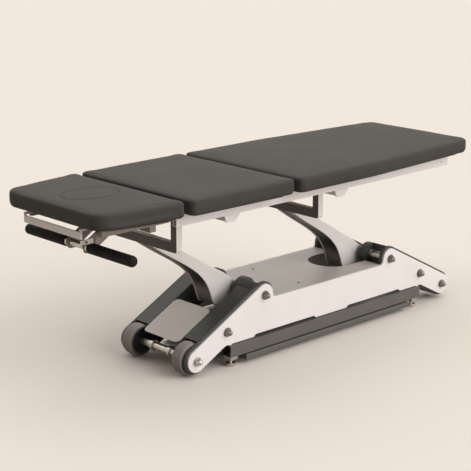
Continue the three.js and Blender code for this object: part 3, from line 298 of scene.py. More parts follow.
# %% [markdown]
# ## Steel
# Two bare metals show: bright zinc on the tubes, the wheel axle, the feet and the bearings' sleeves, and
# dull nickel on the other shafts with their cap nuts. Each has fine scratches: noise that is stretched
# many times. Across the table's width the tubes lie along Y, so the turning marks run round them when the
# noise is stretched along X and Z.


# %% Bare metals
TURNING_MARKS, MARK_DEPTH = (12, 900, 12), 0.00004


def steel_finish(name, slot, code, tarnish, low, high):
    """A bare metal whose roughness lies between low and high, with turning marks across Y."""
    finish = Finish(name, slot, {"Metallic": 1.0})
    marks = finish.noise(finish.place(scale=TURNING_MARKS), 1.0, 3.0, 0.6)
    cloud = finish.noise(finish.place(), 40.0, 3.0)
    colour = finish.mix(cloud.rise(0.35, 0.75), linear(code), linear(tarnish))
    finish.feed(finish.shader, {"Base Color": colour, "Roughness": marks.rise(0.25, 0.75, low, high)})
    finish.bump(marks, MARK_DEPTH, 0.3)
    return finish


zinc = steel_finish("zinc_plated_steel", "bright_steel", "bdb8b1", "a9a49c", 0.24, 0.4)
nickel = steel_finish("dull_nickel_steel", "bolt_steel", "8f857d", "756b64", 0.46, 0.6)
print("metals", zinc.material.name, nickel.material.name)

# %% [markdown]
# ## Rubber, foam, plastic and board
# The tyres are solid rubber, paler on the tread, where the floor rubs them, than on the side walls. The
# pattern needs only the distance from the axle, so one function is given the axle's place. The grips are
# foam rubber full of pores. The board under each cushion is stained plywood, whose thin veneers show as
# lines along its edge.


# %% Rubber and foam
TREAD_START, TREAD_END = 0.0540, 0.0600


def tyre_finish(name, axle):
    """Rubber that is pale from the shoulder outwards; axle is the wheel's middle in the frame, in
    metres."""
    finish = Finish(name, "tyre_rubber", {"Specular IOR Level": 0.3})
    where = finish.place(scale=(1, 0, 1), middle=axle)
    radius = finish.node("ShaderNodeVectorMath", {"operation": "LENGTH"}, {0: where}, output="Value")
    rub = finish.noise(finish.place(), 240.0, 4.0, 0.6)
    colour = finish.mix(radius.rise(TREAD_START, TREAD_END), linear("4a4643"), linear("a79f98"))
    colour = finish.mix(rub.rise(0.45, 0.75, 0.0, 0.5), colour, linear("88807a"))
    finish.feed(finish.shader, {"Base Color": colour, "Roughness": rub.rise(0.3, 0.7, 0.62, 0.78)})
    finish.bump(rub, 0.0002, 0.3)
    return finish


def moulded_finish(name, slot, code, shade, pores, depth, roughness):
    """Foam or plastic of one colour, with this many pores in a metre; the sunken middle of each pore is
    painted towards the darker shade colour, as painted shade in the dimples.
    """
    finish = Finish(name, slot, {"Specular IOR Level": 0.2})
    where = finish.place()
    pore = finish.cells(where, pores)
    cloud = finish.noise(where, 30.0, 3.0)
    # Painted shade: the middle of each pore, which the bump sinks, is mixed towards the darker colour.
    colour = finish.mix(pore.rise(0.1, 0.7), linear(shade), linear(code))
    dullness = cloud.rise(0.3, 0.7, roughness - 0.05, roughness + 0.05)
    finish.feed(finish.shader, {"Base Color": colour, "Roughness": dullness})
    finish.bump(pore, depth, 0.4)
    return finish


foam = moulded_finish("black_foam", "grip_foam", "1b1a19", "0e0d0d", 900.0, 0.00025, 0.8)
plastic = moulded_finish("black_plastic", "black_plastic", "2a2a2c", "222224", 1200.0, 0.00005, 0.5)
print("moulded", foam.material.name, plastic.material.name)


# %% Plywood
VENEER_BANDS, WOOD_GRAIN = 130.0, (4, 120, 120)


def plywood_finish(name):
    """Dark stained plywood: six veneers through its thickness, and grain along the table."""
    finish = Finish(name, "plywood", {"Specular IOR Level": 0.3})
    bands = {"wave_type": "BANDS", "bands_direction": "Z"}
    values = {"Vector": finish.place(), "Scale": VENEER_BANDS, "Distortion": 1.2, "Detail": 2.0}
    veneer = finish.node("ShaderNodeTexWave", bands, values, output=1)
    grain = finish.noise(finish.place(scale=WOOD_GRAIN), 1.0, 4.0, 0.6)
    colour = finish.mix(veneer, linear("43382f"), linear("5b4d41"))
    colour = finish.mix(grain.rise(0.4, 0.7, 0.0, 0.5), colour, linear("372e27"))
    finish.feed(finish.shader, {"Base Color": colour, "Roughness": grain.rise(0.3, 0.7, 0.68, 0.8)})
    finish.bump(grain + veneer * 0.4, 0.0001, 0.4)
    return finish


plywood = plywood_finish("stained_plywood")
print("board", plywood.material.name)

# %% [markdown]
# ## Surfaces from arrays
# A piece is a grid of points: rows along one parameter, columns along another. Numpy works out the whole
# grid at once. Neighbouring rows and columns are joined by four-cornered faces, and a grid may close on
# itself either way. One helper then makes the mesh: it merges points that coincide, such as the pole of a
# dome, turns the faces outwards, and marks the edges that stay sharp.

# %% Meshes from grids
SHARP_ANGLE, FLAT_ANGLE, BEVEL_ANGLE = math.radians(34), math.radians(0.5), math.radians(50)
MERGED_WITHIN, SHORTEST_EDGE = 2e-6, 1e-6


def unit(vectors):
    """Each vector divided by its length."""
    return vectors / np.maximum(np.linalg.norm(vectors, axis=-1, keepdims=True), 1e-12)


def quads(rows, columns, close_rows=False, close_columns=True):
    """Faces between neighbours of a grid numbered row by row: point i, j has the number i * columns +
    j."""
    i = np.arange(rows if close_rows else rows - 1)[:, None]
    j = np.arange(columns if close_columns else columns - 1)[None, :]
    below, beside = (i + 1) % rows, (j + 1) % columns
    corners = (i * columns + j, i * columns + beside, below * columns + beside, below * columns + j)
    return np.stack(np.broadcast_arrays(*corners), axis=-1).reshape(-1, 4)


def mesh_object(name, mesh):
    """A new object for a mesh, at the origin."""
    obj = bpy.data.objects.new(name, mesh)
    bpy.context.scene.collection.objects.link(obj)
    return obj


def clean(mesh, flatten=False):
    """Merges coinciding points, joins flat neighbours where asked, turns faces outwards, marks sharp
    edges."""
    work = bmesh.new()
    work.from_mesh(mesh)
    bmesh.ops.remove_doubles(work, verts=work.verts, dist=MERGED_WITHIN)
    bmesh.ops.dissolve_degenerate(work, edges=work.edges, dist=SHORTEST_EDGE)
    if flatten:
        limits = {"angle_limit": FLAT_ANGLE, "use_dissolve_boundaries": False}
        bmesh.ops.dissolve_limit(work, verts=work.verts, edges=work.edges, **limits)
    bmesh.ops.recalc_face_normals(work, faces=work.faces)
    work.to_mesh(mesh)
    work.free()
    mesh.polygons.foreach_set("use_smooth", np.ones(len(mesh.polygons), bool))
    mesh.set_sharp_from_angle(angle=SHARP_ANGLE)


def settle(obj, finish, body, stands_for=()):
    """Gives a piece its finish, its body and the CAD nodes that it stands for. Large faces keep their own
    normals and small rims bend theirs, so that flat sheets look flat."""
    obj.modifiers.new("even_shading", "WEIGHTED_NORMAL").keep_sharp = True
    obj.data.materials.clear()
    obj.data.materials.append(finish.material)
    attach(obj, body)
    if stands_for:
        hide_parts(*stands_for)
    return obj


def drawn(name, points, faces):
    """A new object from drawing points and faces, without a finish."""
    mesh = bpy.data.meshes.new(name)
    mesh.from_pydata(to_frame(points).tolist(), [], faces)
    clean(mesh)
    return mesh_object(name, mesh)


def piece(name, points, faces, finish, body, stands_for=()):
    """A finished piece from drawing points and faces."""
    return settle(drawn(name, points, faces), finish, body, stands_for)


def body_of(node):
    """The CAD body that lists a node."""
    bodies = frame["record"]["behaviour"]["bodies"]
    return next(body for body, members in bodies.items() if node in members)


# %% [markdown]
# ## Two ways to carry a shape
# Nearly all of the metalwork is made in one of two ways on the real table, and so it is here. A plate is
# cut from sheet: an outline carried straight through, with its rims eased. A turned piece is a profile
# carried round an axis. An arc and a fillet help to draw the outlines. Rims are never left knife-sharp,
# because paint rounds them and it is the rounded rim that catches the light.


# %% Arcs, fillets, plates and turned pieces
def arc(centre, radius, start, end, steps=18):
    """Points at equal angles on a circle, from start to end in degrees."""
    angle = np.radians(np.linspace(start, end, steps + 1))
    return np.column_stack([centre[0] + radius * np.cos(angle), centre[1] + radius * np.sin(angle)])


def filleted(corners, steps=6, closed=True):
    """Corners [a, b, radius] joined by straight lines and rounded. The arc's centre lies on the corner's
    bisector, at the radius divided by the sine of half the corner's angle; between its two ends the arc
    is a spherical mix, each end weighted by the sine of the angle still to go."""
    data = np.asarray(corners, float)
    place, radius = data[:, :2], data[:, 2:]
    back, ahead = unit(np.roll(place, 1, 0) - place), unit(np.roll(place, -1, 0) - place)
    half = np.arccos(np.clip((back * ahead).sum(1, keepdims=True), -1, 1)) / 2
    if not closed:
        radius[[0, -1]] = 0
    centre = place + unit(back + ahead) * radius / np.maximum(np.sin(half), 1e-9)
    run = radius / np.maximum(np.tan(half), 1e-9)
    first, last = place + back * run - centre, place + ahead * run - centre
    turn = np.maximum(math.pi - 2 * half, 1e-6)[..., None]
    share = np.linspace(0, 1, steps + 1)[None, :, None]
    leaving, coming = np.sin((1 - share) * turn) / np.sin(turn), np.sin(share * turn) / np.sin(turn)
    points = centre[:, None] + leaving * first[:, None] + coming * last[:, None]
    return points.reshape(-1, 2)


def single(points, closed=True):
    """The points without neighbours that coincide."""
    gap = np.linalg.norm(points - np.roll(points, 1, 0), axis=1)
    keep = gap > 1e-4
    if not closed:
        keep[0] = True
    return points[keep]


def outward(loop):
    """Mitred outward directions of a closed loop: the sum of both edges' normals over one plus their
    product."""
    ahead = unit(np.roll(loop, -1, 0) - loop)
    normal = np.column_stack([ahead[:, 1], -ahead[:, 0]])
    before = np.roll(normal, 1, 0)
    mitre = (normal + before) / np.maximum(1 + (normal * before).sum(1, keepdims=True), 0.3)
    area = (loop[:, 0] * np.roll(loop[:, 1], -1) - loop[:, 1] * np.roll(loop[:, 0], -1)).sum()
    return mitre if area > 0 else -mitre


def sheet_rows(outline, low, high, rim, steps=3):
    """A loop carried from low to high with eased rims. Round each rim the loop is drawn in by the rim
    times one minus the cosine, and stands the rim times one minus the sine from the face. Gives rows of
    points (a, b, depth)."""
    loop = single(np.asarray(outline, float))
    out = outward(loop)
    angle = np.linspace(math.pi / 2, 0, steps + 1)
    inset = rim * (1 - np.cos(angle))
    depth = rim * (1 - np.sin(angle))
    insets = np.concatenate([inset, inset[::-1]])
    depths = np.concatenate([low + depth, (high - depth)[::-1]])
    rows = loop[None] - insets[:, None, None] * out[None]
    return np.concatenate([rows, np.broadcast_to(depths[:, None, None], (*rows.shape[:2], 1))], axis=-1)


def carried(rows):
    """Points and faces of rows that close round, with a flat cap on the first and last row."""
    count, columns = rows.shape[:2]
    faces = quads(count, columns).tolist()
    faces += [list(range(columns))[::-1], list(range((count - 1) * columns, count * columns))]
    return rows.reshape(-1, 3), faces


def sheet(outline, low, high, rim, axes="xzy"):
    """Points and faces of a plate. axes names the drawing axes of the outline's two numbers and of its
    depth."""
    points, faces = carried(sheet_rows(outline, low, high, rim))
    return points[:, [axes.index(axis) for axis in "xyz"]], faces


def plate(name, outline, low, high, finish, body, stands_for=(), rim=1.2, axes="xzy"):
    """A sheet piece."""
    return piece(name, *sheet(outline, low, high, rim, axes), finish, body, stands_for)


def revolved(profile, centre, around, ring=False):
    """Points and faces of a profile of (radius, distance along Y) carried round an axis along Y: X and Z
    are the radius times the cosine and the sine of the angle. The profile closes on itself when ring is
    true."""
    profile = np.asarray(profile, float)
    angle = np.linspace(0, 2 * math.pi, around, endpoint=False)
    across = profile[:, :1] * np.cos(angle)
    up = profile[:, :1] * np.sin(angle)
    along = np.broadcast_to(profile[:, 1:], across.shape)
    rows = np.stack([across, along, up], axis=-1) + np.asarray(centre, float)
    return rows.reshape(-1, 3), quads(len(rows), around, close_rows=ring).tolist()


def turned(name, profile, centre, finish, body, stands_for=(), around=48, ring=False):
    """A turned piece. Its profile starts and ends on the axis, or closes on itself when ring is true."""
    return piece(name, *revolved(profile, centre, around, ring), finish, body, stands_for)


print("fillet test", filleted([[0, 0, 2], [10, 0, 2], [10, 10, 2], [0, 10, 2]]).shape)

# %% [markdown]
# ## CAD pieces with eased edges
# The welded frames, tubes and brackets already have the right shape in the CAD. What they lack is the
# eased edge of real sheet and tube. A copy is merged, its flat triangles are joined, and every edge where
# the surface turns by more than 50 degrees gets a small bevel. The copy stands for the node, because a
# CAD mesh itself is never changed.


# %% Polished copies
def polished(node, finish, width):
    """A copy of a CAD node with bevelled edges of this width in millimetres."""
    mesh = nodes[node].data.copy()
    mesh.name = node + "_finished"
    if mesh.has_custom_normals:
        mesh.normals_split_custom_set([(0, 0, 0)] * len(mesh.loops))
    clean(mesh, flatten=True)
    work = bmesh.new()
    work.from_mesh(mesh)
    edges = [e for e in work.edges if len(e.link_faces) == 2 and e.calc_face_angle(0) > BEVEL_ANGLE]
    round_edge = {"segments": 2, "profile": 0.5, "affect": "EDGES", "clamp_overlap": True}
    bmesh.ops.bevel(work, geom=edges, offset=width * MM, **round_edge)
    work.to_mesh(mesh)
    work.free()
    clean(mesh)
    return settle(mesh_object(mesh.name, mesh), finish, body_of(node), [node])


print("edges are eased from", round(math.degrees(BEVEL_ANGLE)), "degrees on")

# %% [markdown]
# ## Side plates
# Each side of the base is one flat cut plate. A round lobe at each hub carries the arm's axle, and a band
# slopes down from it to the floor end. A plate is best drawn as its outline: arcs for the lobes, a small
# hollow curve where the lobe leaves the top edge, a step where the band meets the body, and two shallow
# notches below.

# %% Side plates
HUB = (366.0, 247.0)
END_BOLT = (714.0, 66.0)
MID_BOLT_X = 563.0
LOBE = 43.5
PLATE_TOP, PLATE_BOTTOM, PLATE_STEP = 229.0, 92.0, 540.0
PLATE_INNER, PLATE_OUTER = 188.0, 197.0
NOTCHES = [(435, 99), (-81, -424)]
NOTCH_DEPTH, NOTCH_SLOPE, STEP_ROUND = 9.0, 10.0, 24.0
SLOPE = math.atan2(HUB[1] - END_BOLT[1], END_BOLT[0] - HUB[0])
SLOPE_DEGREES = math.degrees(SLOPE)
SLOPE_LENGTH = math.hypot(END_BOLT[0] - HUB[0], HUB[1] - END_BOLT[1])


def line_height(x):
    """Height of the line from a hub to its end bolt, at a distance from the middle of the base."""
    return HUB[1] - (x - HUB[0]) * math.tan(SLOPE)


def plate_end():
    """The outline at the foot end. The hollow curve's middle is as high as the hub, so its radius is the
    height from the top edge up to there."""
    hollow = HUB[1] - PLATE_TOP
    up = 90 - SLOPE_DEGREES
    step = line_height(PLATE_STEP) - LOBE / math.cos(SLOPE)
    tip = arc(END_BOLT, LOBE, up, up - 180, 32)
    corner = [[*tip[-1], 0], [PLATE_STEP, step, STEP_ROUND], [PLATE_STEP, PLATE_BOTTOM, 0]]
    inner_corner = single(filleted(corner, closed=False), closed=False)
    hollow_curve = arc((HUB[0] - LOBE - hollow, HUB[1]), hollow, -90, 0, 8)
    return np.concatenate([hollow_curve, arc(HUB, LOBE, 180, up, 24), tip, inner_corner])


def plate_outline():
    """Both ends, and the two notches of the lower edge between them."""
    lower = []
    for start, end in NOTCHES:
        roof = PLATE_BOTTOM + NOTCH_DEPTH
        lower += [[start, PLATE_BOTTOM], [start - NOTCH_SLOPE, roof]]
        lower += [[end + NOTCH_SLOPE, roof], [end, PLATE_BOTTOM]]
    end = plate_end()
    return np.concatenate([end, lower, end[::-1] * [-1, 1]])


for side_name, side in SIDES.items():
    name = f"side_plate_{side_name}"
    faces_at = sorted([side * PLATE_INNER, side * PLATE_OUTER])
    plate(name + "_cut", plate_outline(), *faces_at, white, "base", [name], rim=1.0)
print("plate outline has", len(plate_outline()), "points")

# %% [markdown]
# ## Beams
# Behind each sloping band runs a dark folded beam, wider than the band, so that a dark rim shows round
# the white. At the head end the wheels stand in the beams' lower ends, under a round hollow. In the
# slope's own coordinates, along it and across it, each outline is two lines and an arc or two, and is
# turned into place afterwards.

# %% Beams
BEAM_HALF = 52.5
BEAM_INNER, BEAM_WELL, BEAM_OUTER = 100.0, 176.0, 187.7
WELL_RADIUS, BEAM_RIM, BEAM_SHORT = 70.0, 4.0, 36.0


def sloped(points, end):
    """Points given along the slope from the end bolt and across it, as X and Z: the first goes towards
    the hub, the second outwards and up."""
    along, across = np.asarray(points, float).T
    x = END_BOLT[0] - along * math.cos(SLOPE) + across * math.sin(SLOPE)
    z = END_BOLT[1] + along * math.sin(SLOPE) + across * math.cos(SLOPE)
    return np.column_stack([end * x, z])


def band(half, well=None, short=0.0):
    """A band from short of the hub's middle down to the end bolt: round below, or hollowed by a circle
    round the bolt."""
    top = [[SLOPE_LENGTH - short, -half], [SLOPE_LENGTH - short, half]]
    if well is None:
        return np.concatenate([top, arc((0, 0), half, 90, 270, 32)])
    angle = math.degrees(math.asin(half / well))
    return np.concatenate([top, arc((0, 0), well, angle, -angle, 24)])


def shells(*parts):
    """Several closed shells as one piece's points and faces: each shell's numbers go on after the last
    one's."""
    points, faces, count = [], [], 0
    for places, own in parts:
        points.append(places)
        faces += [[count + i for i in face] for face in own]
        count += len(places)
    return np.concatenate(points), faces


for side_name, side in SIDES.items():
    for end_name, end in ENDS.items():
        well = WELL_RADIUS if end == HEAD else None
        spans = [
            (band(BEAM_HALF, well, BEAM_SHORT), BEAM_INNER, BEAM_WELL + BEAM_RIM),
            (band(BEAM_HALF), BEAM_WELL, BEAM_OUTER),
        ]
        parts = [sheet(sloped(o, end), *sorted([side * a, side * b]), BEAM_RIM) for o, a, b in spans]
        name = f"{end_name}_beam_{side_name}"
        piece(name + "_folded", *shells(*parts), charcoal, "base", [name])
print("beams", round(SLOPE_LENGTH), "mm from bolt to hub, slope", round(SLOPE_DEGREES, 1))

# %% [markdown]
# ## Bearing drums
# A drum at each side of a hub holds the axle's bearing. It is a dark cylinder with a window over its top
# and towards the middle of the table, and the paler turned sleeve of the bearing shows through. The
# window is a pocket: on the grid of angle and distance along the drum, the radius drops inside the
# window, and grid lines lie close on both sides of its rim to keep it crisp.

# %% Drums
DRUM_RADIUS, DRUM_INNER, DRUM_OUTER = 48.0, 62.0, 187.4
WINDOW_LOW, WINDOW_HIGH, WINDOW_FROM, WINDOW_TO = 92.0, 177.0, -62.0, 108.0
POCKET_RADIUS, DRUM_EDGE, FLANGE_RADIUS, WINDOW_LIP, DRUM_STEP = 20.0, 4.0, 51.5, 0.6, 6.0
SLEEVE_RADIUS, SLEEVE_OVERLAP, GROOVE_START, GROOVE_WIDTH, GROOVE_DEPTH = 22.125, 2.0, 8.0, 4.0, 2.0


def between(values, low, high):
    """1 where a value lies between two limits, else 0."""
    return ((values > low) & (values < high)).astype(float)


def drum(end, side):
    """Radius over angle and distance: rounded at the inner end, a flange at the plate, and the pocket's
    radius inside the window. Angle 0 points to the middle of the table, 90 up."""
    lips = np.array([-WINDOW_LIP, WINDOW_LIP])
    rims = np.concatenate([WINDOW_FROM + lips, WINDOW_TO + lips])
    around = np.sort(np.concatenate([np.arange(-180, 180, DRUM_STEP), rims]))
    edge = np.linspace(0, math.pi / 2, 5)
    edge_radius = DRUM_RADIUS - DRUM_EDGE * (1 - np.sin(edge))
    start = np.column_stack([edge_radius, DRUM_INNER + DRUM_EDGE * (1 - np.cos(edge))])
    straight = np.concatenate([WINDOW_LOW + lips, WINDOW_HIGH + lips])
    middle = np.column_stack([np.full(len(straight), DRUM_RADIUS), straight])
    flange = [[FLANGE_RADIUS, straight[-1]], [FLANGE_RADIUS, DRUM_OUTER], [0, DRUM_OUTER]]
    profile = np.concatenate([[[0, DRUM_INNER]], start, middle, flange])
    inside = between(profile[:, 1:], WINDOW_LOW, WINDOW_HIGH)
    inside = inside * between(around[None], WINDOW_FROM, WINDOW_TO)
    radius = profile[:, :1] - (profile[:, :1] - POCKET_RADIUS) * inside
    angle = np.radians(around)[None]
    x = end * (HUB[0] - radius * np.cos(angle))
    z = HUB[1] + radius * np.sin(angle)
    y = np.broadcast_to(side * profile[:, 1:], x.shape)
    return np.stack([x, y, z], axis=-1)


def sleeve_profile(side):
    """The bearing's sleeve through the window, with a groove near its inner end."""
    r, low, high = SLEEVE_RADIUS, WINDOW_LOW - SLEEVE_OVERLAP, WINDOW_HIGH + SLEEVE_OVERLAP
    deep, start = r - GROOVE_DEPTH, WINDOW_LOW + GROOVE_START
    end = start + GROOVE_WIDTH
    half = [[0, low], [r, low], [r, start], [deep, start], [deep, end], [r, end], [r, high], [0, high]]
    return np.array(half) * [1, side]


for side_name, side in SIDES.items():
    for end_name, end in ENDS.items():
        rows = drum(end, side)
        name = f"bearing_drum_{end_name}_{side_name}"
        faces = quads(*rows.shape[:2]).tolist()
        piece(name + "_turned", rows.reshape(-1, 3), faces, charcoal, "base", [name])
        sleeve = f"bearing_sleeve_{end_name}_{side_name}"
        turned(sleeve, sleeve_profile(side), (end * HUB[0], 0, HUB[1]), zinc, "base", around=40)
print("drum grid", drum(FOOT, NEAR).shape)

# %% [markdown]
# ## Shafts and cap nuts
# Six shafts run through the base from side to side, and each ends in cap nuts on the plates: a long dome
# with a flange. A shaft with all of its collars is one turned piece: half a profile is written from the
# dome inwards, and mirrored. The dome is a quarter ellipse, longer than it is wide, and stands on the
# flange.

# %% Shafts
DOME_RADIUS, DOME_HEIGHT, NUT_FLANGE, FLANGE_DEPTH = 14.5, 25.0, 18.0, 3.0
SEAT = 0.3
COLLAR_FROM, COLLAR_TO, SPACER_RADIUS = 61.7, 46.0, 18.0


def shaft_profile(radius, steps):
    """Half a shaft from the dome's top inwards, then its mirror. steps lists [radius, distance] pairs
    from outside inwards. The dome's radius goes with the sine and its height with the cosine of one
    angle."""
    angle = np.linspace(0, math.pi / 2, 9)
    face = PLATE_OUTER + SEAT
    foot = face + FLANGE_DEPTH
    height = (DOME_HEIGHT - FLANGE_DEPTH) * np.cos(angle)
    dome = np.column_stack([DOME_RADIUS * np.sin(angle), foot + height])
    flange = [[NUT_FLANGE, foot], [NUT_FLANGE, face], [radius, face]]
    half = np.concatenate([dome, flange, np.reshape(steps, (-1, 2))])
    return np.concatenate([half, half[::-1] * [1, -1]])


def ring_steps(shaft, ring, outer, inner):
    """A collar on a shaft: out to the ring's radius at its outer end, and back at its inner end."""
    return [[shaft, outer], [ring, outer], [ring, inner], [shaft, inner]]


TIE_RADIUS, HUB_SHAFT, WHEEL_SHAFT, WHEEL_TUBE = 8.0, 14.0, 11.0, 15.0
mid_z = line_height(MID_BOLT_X)
spacer = ring_steps(HUB_SHAFT, SPACER_RADIUS, COLLAR_FROM, COLLAR_TO)
shafts = {
    "tie_rod_head": (-MID_BOLT_X, mid_z, TIE_RADIUS, []),
    "tie_rod_foot": (MID_BOLT_X, mid_z, TIE_RADIUS, []),
    "tie_rod_foot_end": (END_BOLT[0], END_BOLT[1], TIE_RADIUS, []),
    "hub_axle_head": (-HUB[0], HUB[1], HUB_SHAFT, spacer),
    "hub_axle_foot": (HUB[0], HUB[1], HUB_SHAFT, spacer),
}
for name, (x, z, radius, steps) in shafts.items():
    turned(name + "_turned", shaft_profile(radius, steps), (x, 0, z), nickel, "base", [name], around=40)

# %% [markdown]
# ## Transport wheels
# Two rubber-tyred wheels at the head end lift clear of the floor until the table is tipped. Between them
# runs a bright tube with two ring collars. The tyre is a closed ring: its profile starts and ends at the
# same place and never touches the axis. Its shoulders are arcs and its side walls bulge a little.

# %% Wheels
WHEEL_Y, WHEEL_WIDTH, WHEEL_RADIUS, TYRE_DEPTH = 145.5, 58.0, 63.5, 14.0
TYRE_SHOULDER, TREAD_CROWN = 11.0, 2.0
TYRE_WALL = [[0, 2], [2, 0.8]]
BOSS_STEPS = [[19, 0], [20, 1], [21, 6], [23, 7]]
RIM_STEPS = [[9, 7], [7, 6], [6, 2], [4, 1.4], [0, 1.4]]
AXLE_GAP = 0.4
AXLE_RING, AXLE_RING_Y, AXLE_RING_WIDTH = 21.0, 50.0, 14.0


def tyre_profile():
    """From the inner edge up one wall, over a shoulder arc and the crowned tread, and down the other
    wall."""
    half, inner = WHEEL_WIDTH / 2, WHEEL_RADIUS - TYRE_DEPTH
    angle = np.linspace(0, math.pi / 2, 7)
    edge = WHEEL_RADIUS - TREAD_CROWN - TYRE_SHOULDER
    radius, y = edge + TYRE_SHOULDER * np.sin(angle), half - TYRE_SHOULDER * (1 - np.cos(angle))
    shoulder = np.column_stack([radius, y])
    wall = [[inner + up, half - depth] for up, depth in TYRE_WALL]
    right = np.concatenate([wall, shoulder])
    return np.concatenate([right, [[WHEEL_RADIUS, 0]], right[::-1] * [1, -1]])


def hub_profile():
    """A dished wheel centre: a boss round the axle, a deep dish and a rim band. BOSS_STEPS holds radius
    and depth from the face, and RIM_STEPS the distance inwards from the rim and depth."""
    outer, half = WHEEL_RADIUS - TYRE_DEPTH - SEAT, WHEEL_WIDTH / 2
    side = [[WHEEL_SHAFT + AXLE_GAP, half]] + [[radius, half - depth] for radius, depth in BOSS_STEPS]
    side = np.array(side + [[outer - inwards, half - depth] for inwards, depth in RIM_STEPS], float)
    return np.concatenate([side, side[::-1] * [1, -1]])


for side_name, side in SIDES.items():
    middle = (-END_BOLT[0], side * WHEEL_Y, END_BOLT[1])
    body = f"wheel_{side_name}"
    rubber = tyre_finish(f"tyre_rubber_{side_name}", tuple(to_frame(middle)))
    turnings = {"tyre": (tyre_profile(), rubber, 96), "hub": (hub_profile(), plastic, 64)}
    for kind, (profile, finish, around) in turnings.items():
        name = f"wheel_{kind}_{side_name}"
        turned(name + "_turned", profile, middle, finish, body, [name], around, ring=True)

reach = WHEEL_Y - WHEEL_WIDTH / 2 - SEAT
tube_steps = [[WHEEL_SHAFT, reach], [WHEEL_TUBE - 1, reach], [WHEEL_TUBE, reach - 1]]
ring_ends = AXLE_RING_Y + AXLE_RING_WIDTH / 2, AXLE_RING_Y - AXLE_RING_WIDTH / 2
tube_steps += ring_steps(WHEEL_TUBE, AXLE_RING, *ring_ends)
axle_profile = shaft_profile(WHEEL_SHAFT, tube_steps)
turned("wheel_axle_turned", axle_profile, (-END_BOLT[0], 0, END_BOLT[1]), zinc, "base", ["wheel_axle"])
print("tyre profile", tyre_profile().shape)

# %% [markdown]
# ## Swinging arms
# The arms are what one looks at first: curved cheeks of pale grey, a dark web set between them on the
# lower side, and cheeks that draw in softly towards the hub. The lower and upper edge are smooth curves
# through the points of the CAD arm's outline. At every station along them a section is laid across, so
# the arm is a loft: a grid of stations and section points. The web is a second loft between the cheeks,
# because it has another paint.

# %% Arm curves
RUN, RISE = 425.0, 373.0
LOWER_SHARES = [
    [-1.035, 0.671], [-0.929, 0.59], [-0.812, 0.504], [-0.694, 0.421], [-0.569, 0.327],
    [-0.471, 0.236], [-0.393, 0.131], [-0.341, 0.011], [-0.313, -0.086], [-0.268, -0.15],
]
UPPER_SHARES = [
    [-0.965, 0.758], [-0.671, 0.534], [-0.576, 0.464], [-0.447, 0.381], [-0.322, 0.29],
    [-0.195, 0.209], [-0.094, 0.131], [-0.012, 0.062], [0.071, -0.02],
]
HEEL_RADIUS = 52.0
HEEL_LOWER, HEEL_UPPER = (-126, -76), (-9, -59)
STATIONS, CURVE_STEPS = 72, 24


def through(points, count):
    """A smooth curve through points, spaced evenly along its length. Between two points it is the cubic
    whose slope at each point is half the step from the point before to the point after."""
    p = np.asarray(points, float)
    ends = np.concatenate([[2 * p[0] - p[1]], p, [2 * p[-1] - p[-2]]])
    t = np.linspace(0, 1, CURVE_STEPS, endpoint=False)[None, :, None]
    before, here, there, after = (ends[k : len(p) - 1 + k, None] for k in range(4))
    slope_here, slope_there = (there - before) / 2, (after - here) / 2
    curve = (2 * t**3 - 3 * t**2 + 1) * here + (t**3 - 2 * t**2 + t) * slope_here
    curve = curve + (3 * t**2 - 2 * t**3) * there + (t**3 - t**2) * slope_there
    curve = np.concatenate([curve.reshape(-1, 2), p[-1:]])
    length = np.concatenate([[0], np.cumsum(np.linalg.norm(np.diff(curve, axis=0), axis=1))])
    want = np.linspace(0, length[-1], count)
    return np.column_stack([np.interp(want, length, curve[:, k]) for k in (0, 1)])


def arm_edges():
    """Lower and upper edge from the yoke to the heel, from the hub's middle, in millimetres."""
    edges = []
    for shares, heel in ((LOWER_SHARES, HEEL_LOWER), (UPPER_SHARES, HEEL_UPPER)):
        points = np.concatenate([np.array(shares) * [RUN, RISE], arc((0, 0), HEEL_RADIUS, *heel, 4)])
        edges.append(through(points, STATIONS))
    return edges


arm_lower, arm_upper = arm_edges()
yoke_chord = np.linalg.norm(arm_upper[0] - arm_lower[0])
print("arm edges", arm_lower.shape, "chord at the yoke", yoke_chord.round(1))

# %% Arm loft
ARM_HALF, NECK_HALF = 47.5, 42.0
DRAW_IN_START, DRAW_IN_END = 50.0, 110.0
CHEEK, CHANNEL, ARM_RIM = 5.5, 8.0, 1.6
DEEPEST_SHARE = 0.42
FROM_LOWER, FROM_UPPER, BETWEEN = 0, 1, 2
ON_MIDDLE = -1


def arm_half(distance):
    """Half the arm's width at a distance from the hub: an S-curve from the neck's to the full one."""
    t = np.clip((distance - DRAW_IN_START) / (DRAW_IN_END - DRAW_IN_START), 0, 1)
    return NECK_HALF + (ARM_HALF - NECK_HALF) * t * t * (3 - 2 * t)


def arm_loft(section, shift):
    """Stations by section points. A section point is [base, share, depth, inset]: the base FROM_LOWER
    measures the depth from the lower edge, FROM_UPPER back from the upper edge, and BETWEEN takes a share
    of the way; inset is how far the point lies inside the cheek, and ON_MIDDLE places the point on the
    middle plane."""
    base, share, depth, inset, sign = np.asarray(section, float).T[:, None, :]
    chord = (arm_upper - arm_lower)[:, None]
    size = np.linalg.norm(chord, axis=-1)
    offset = np.minimum(depth, DEEPEST_SHARE * size) / size
    along = np.where(base == FROM_LOWER, offset, np.where(base == FROM_UPPER, 1 - offset, share))
    place = arm_lower[:, None] + chord * along[..., None]
    half = arm_half(np.linalg.norm(place, axis=-1))
    y = sign * np.where(inset < 0, 0, half - inset)
    return np.stack([place[..., 0] + shift, y, place[..., 1] + HUB[1]], axis=-1)


def mirrored_section(half):
    """A section's half for +Y, then the same points for -Y in reverse order."""
    far = [[*point, 1] for point in half]
    near = [[*point, -1] for point in reversed(half)]
    return far + near


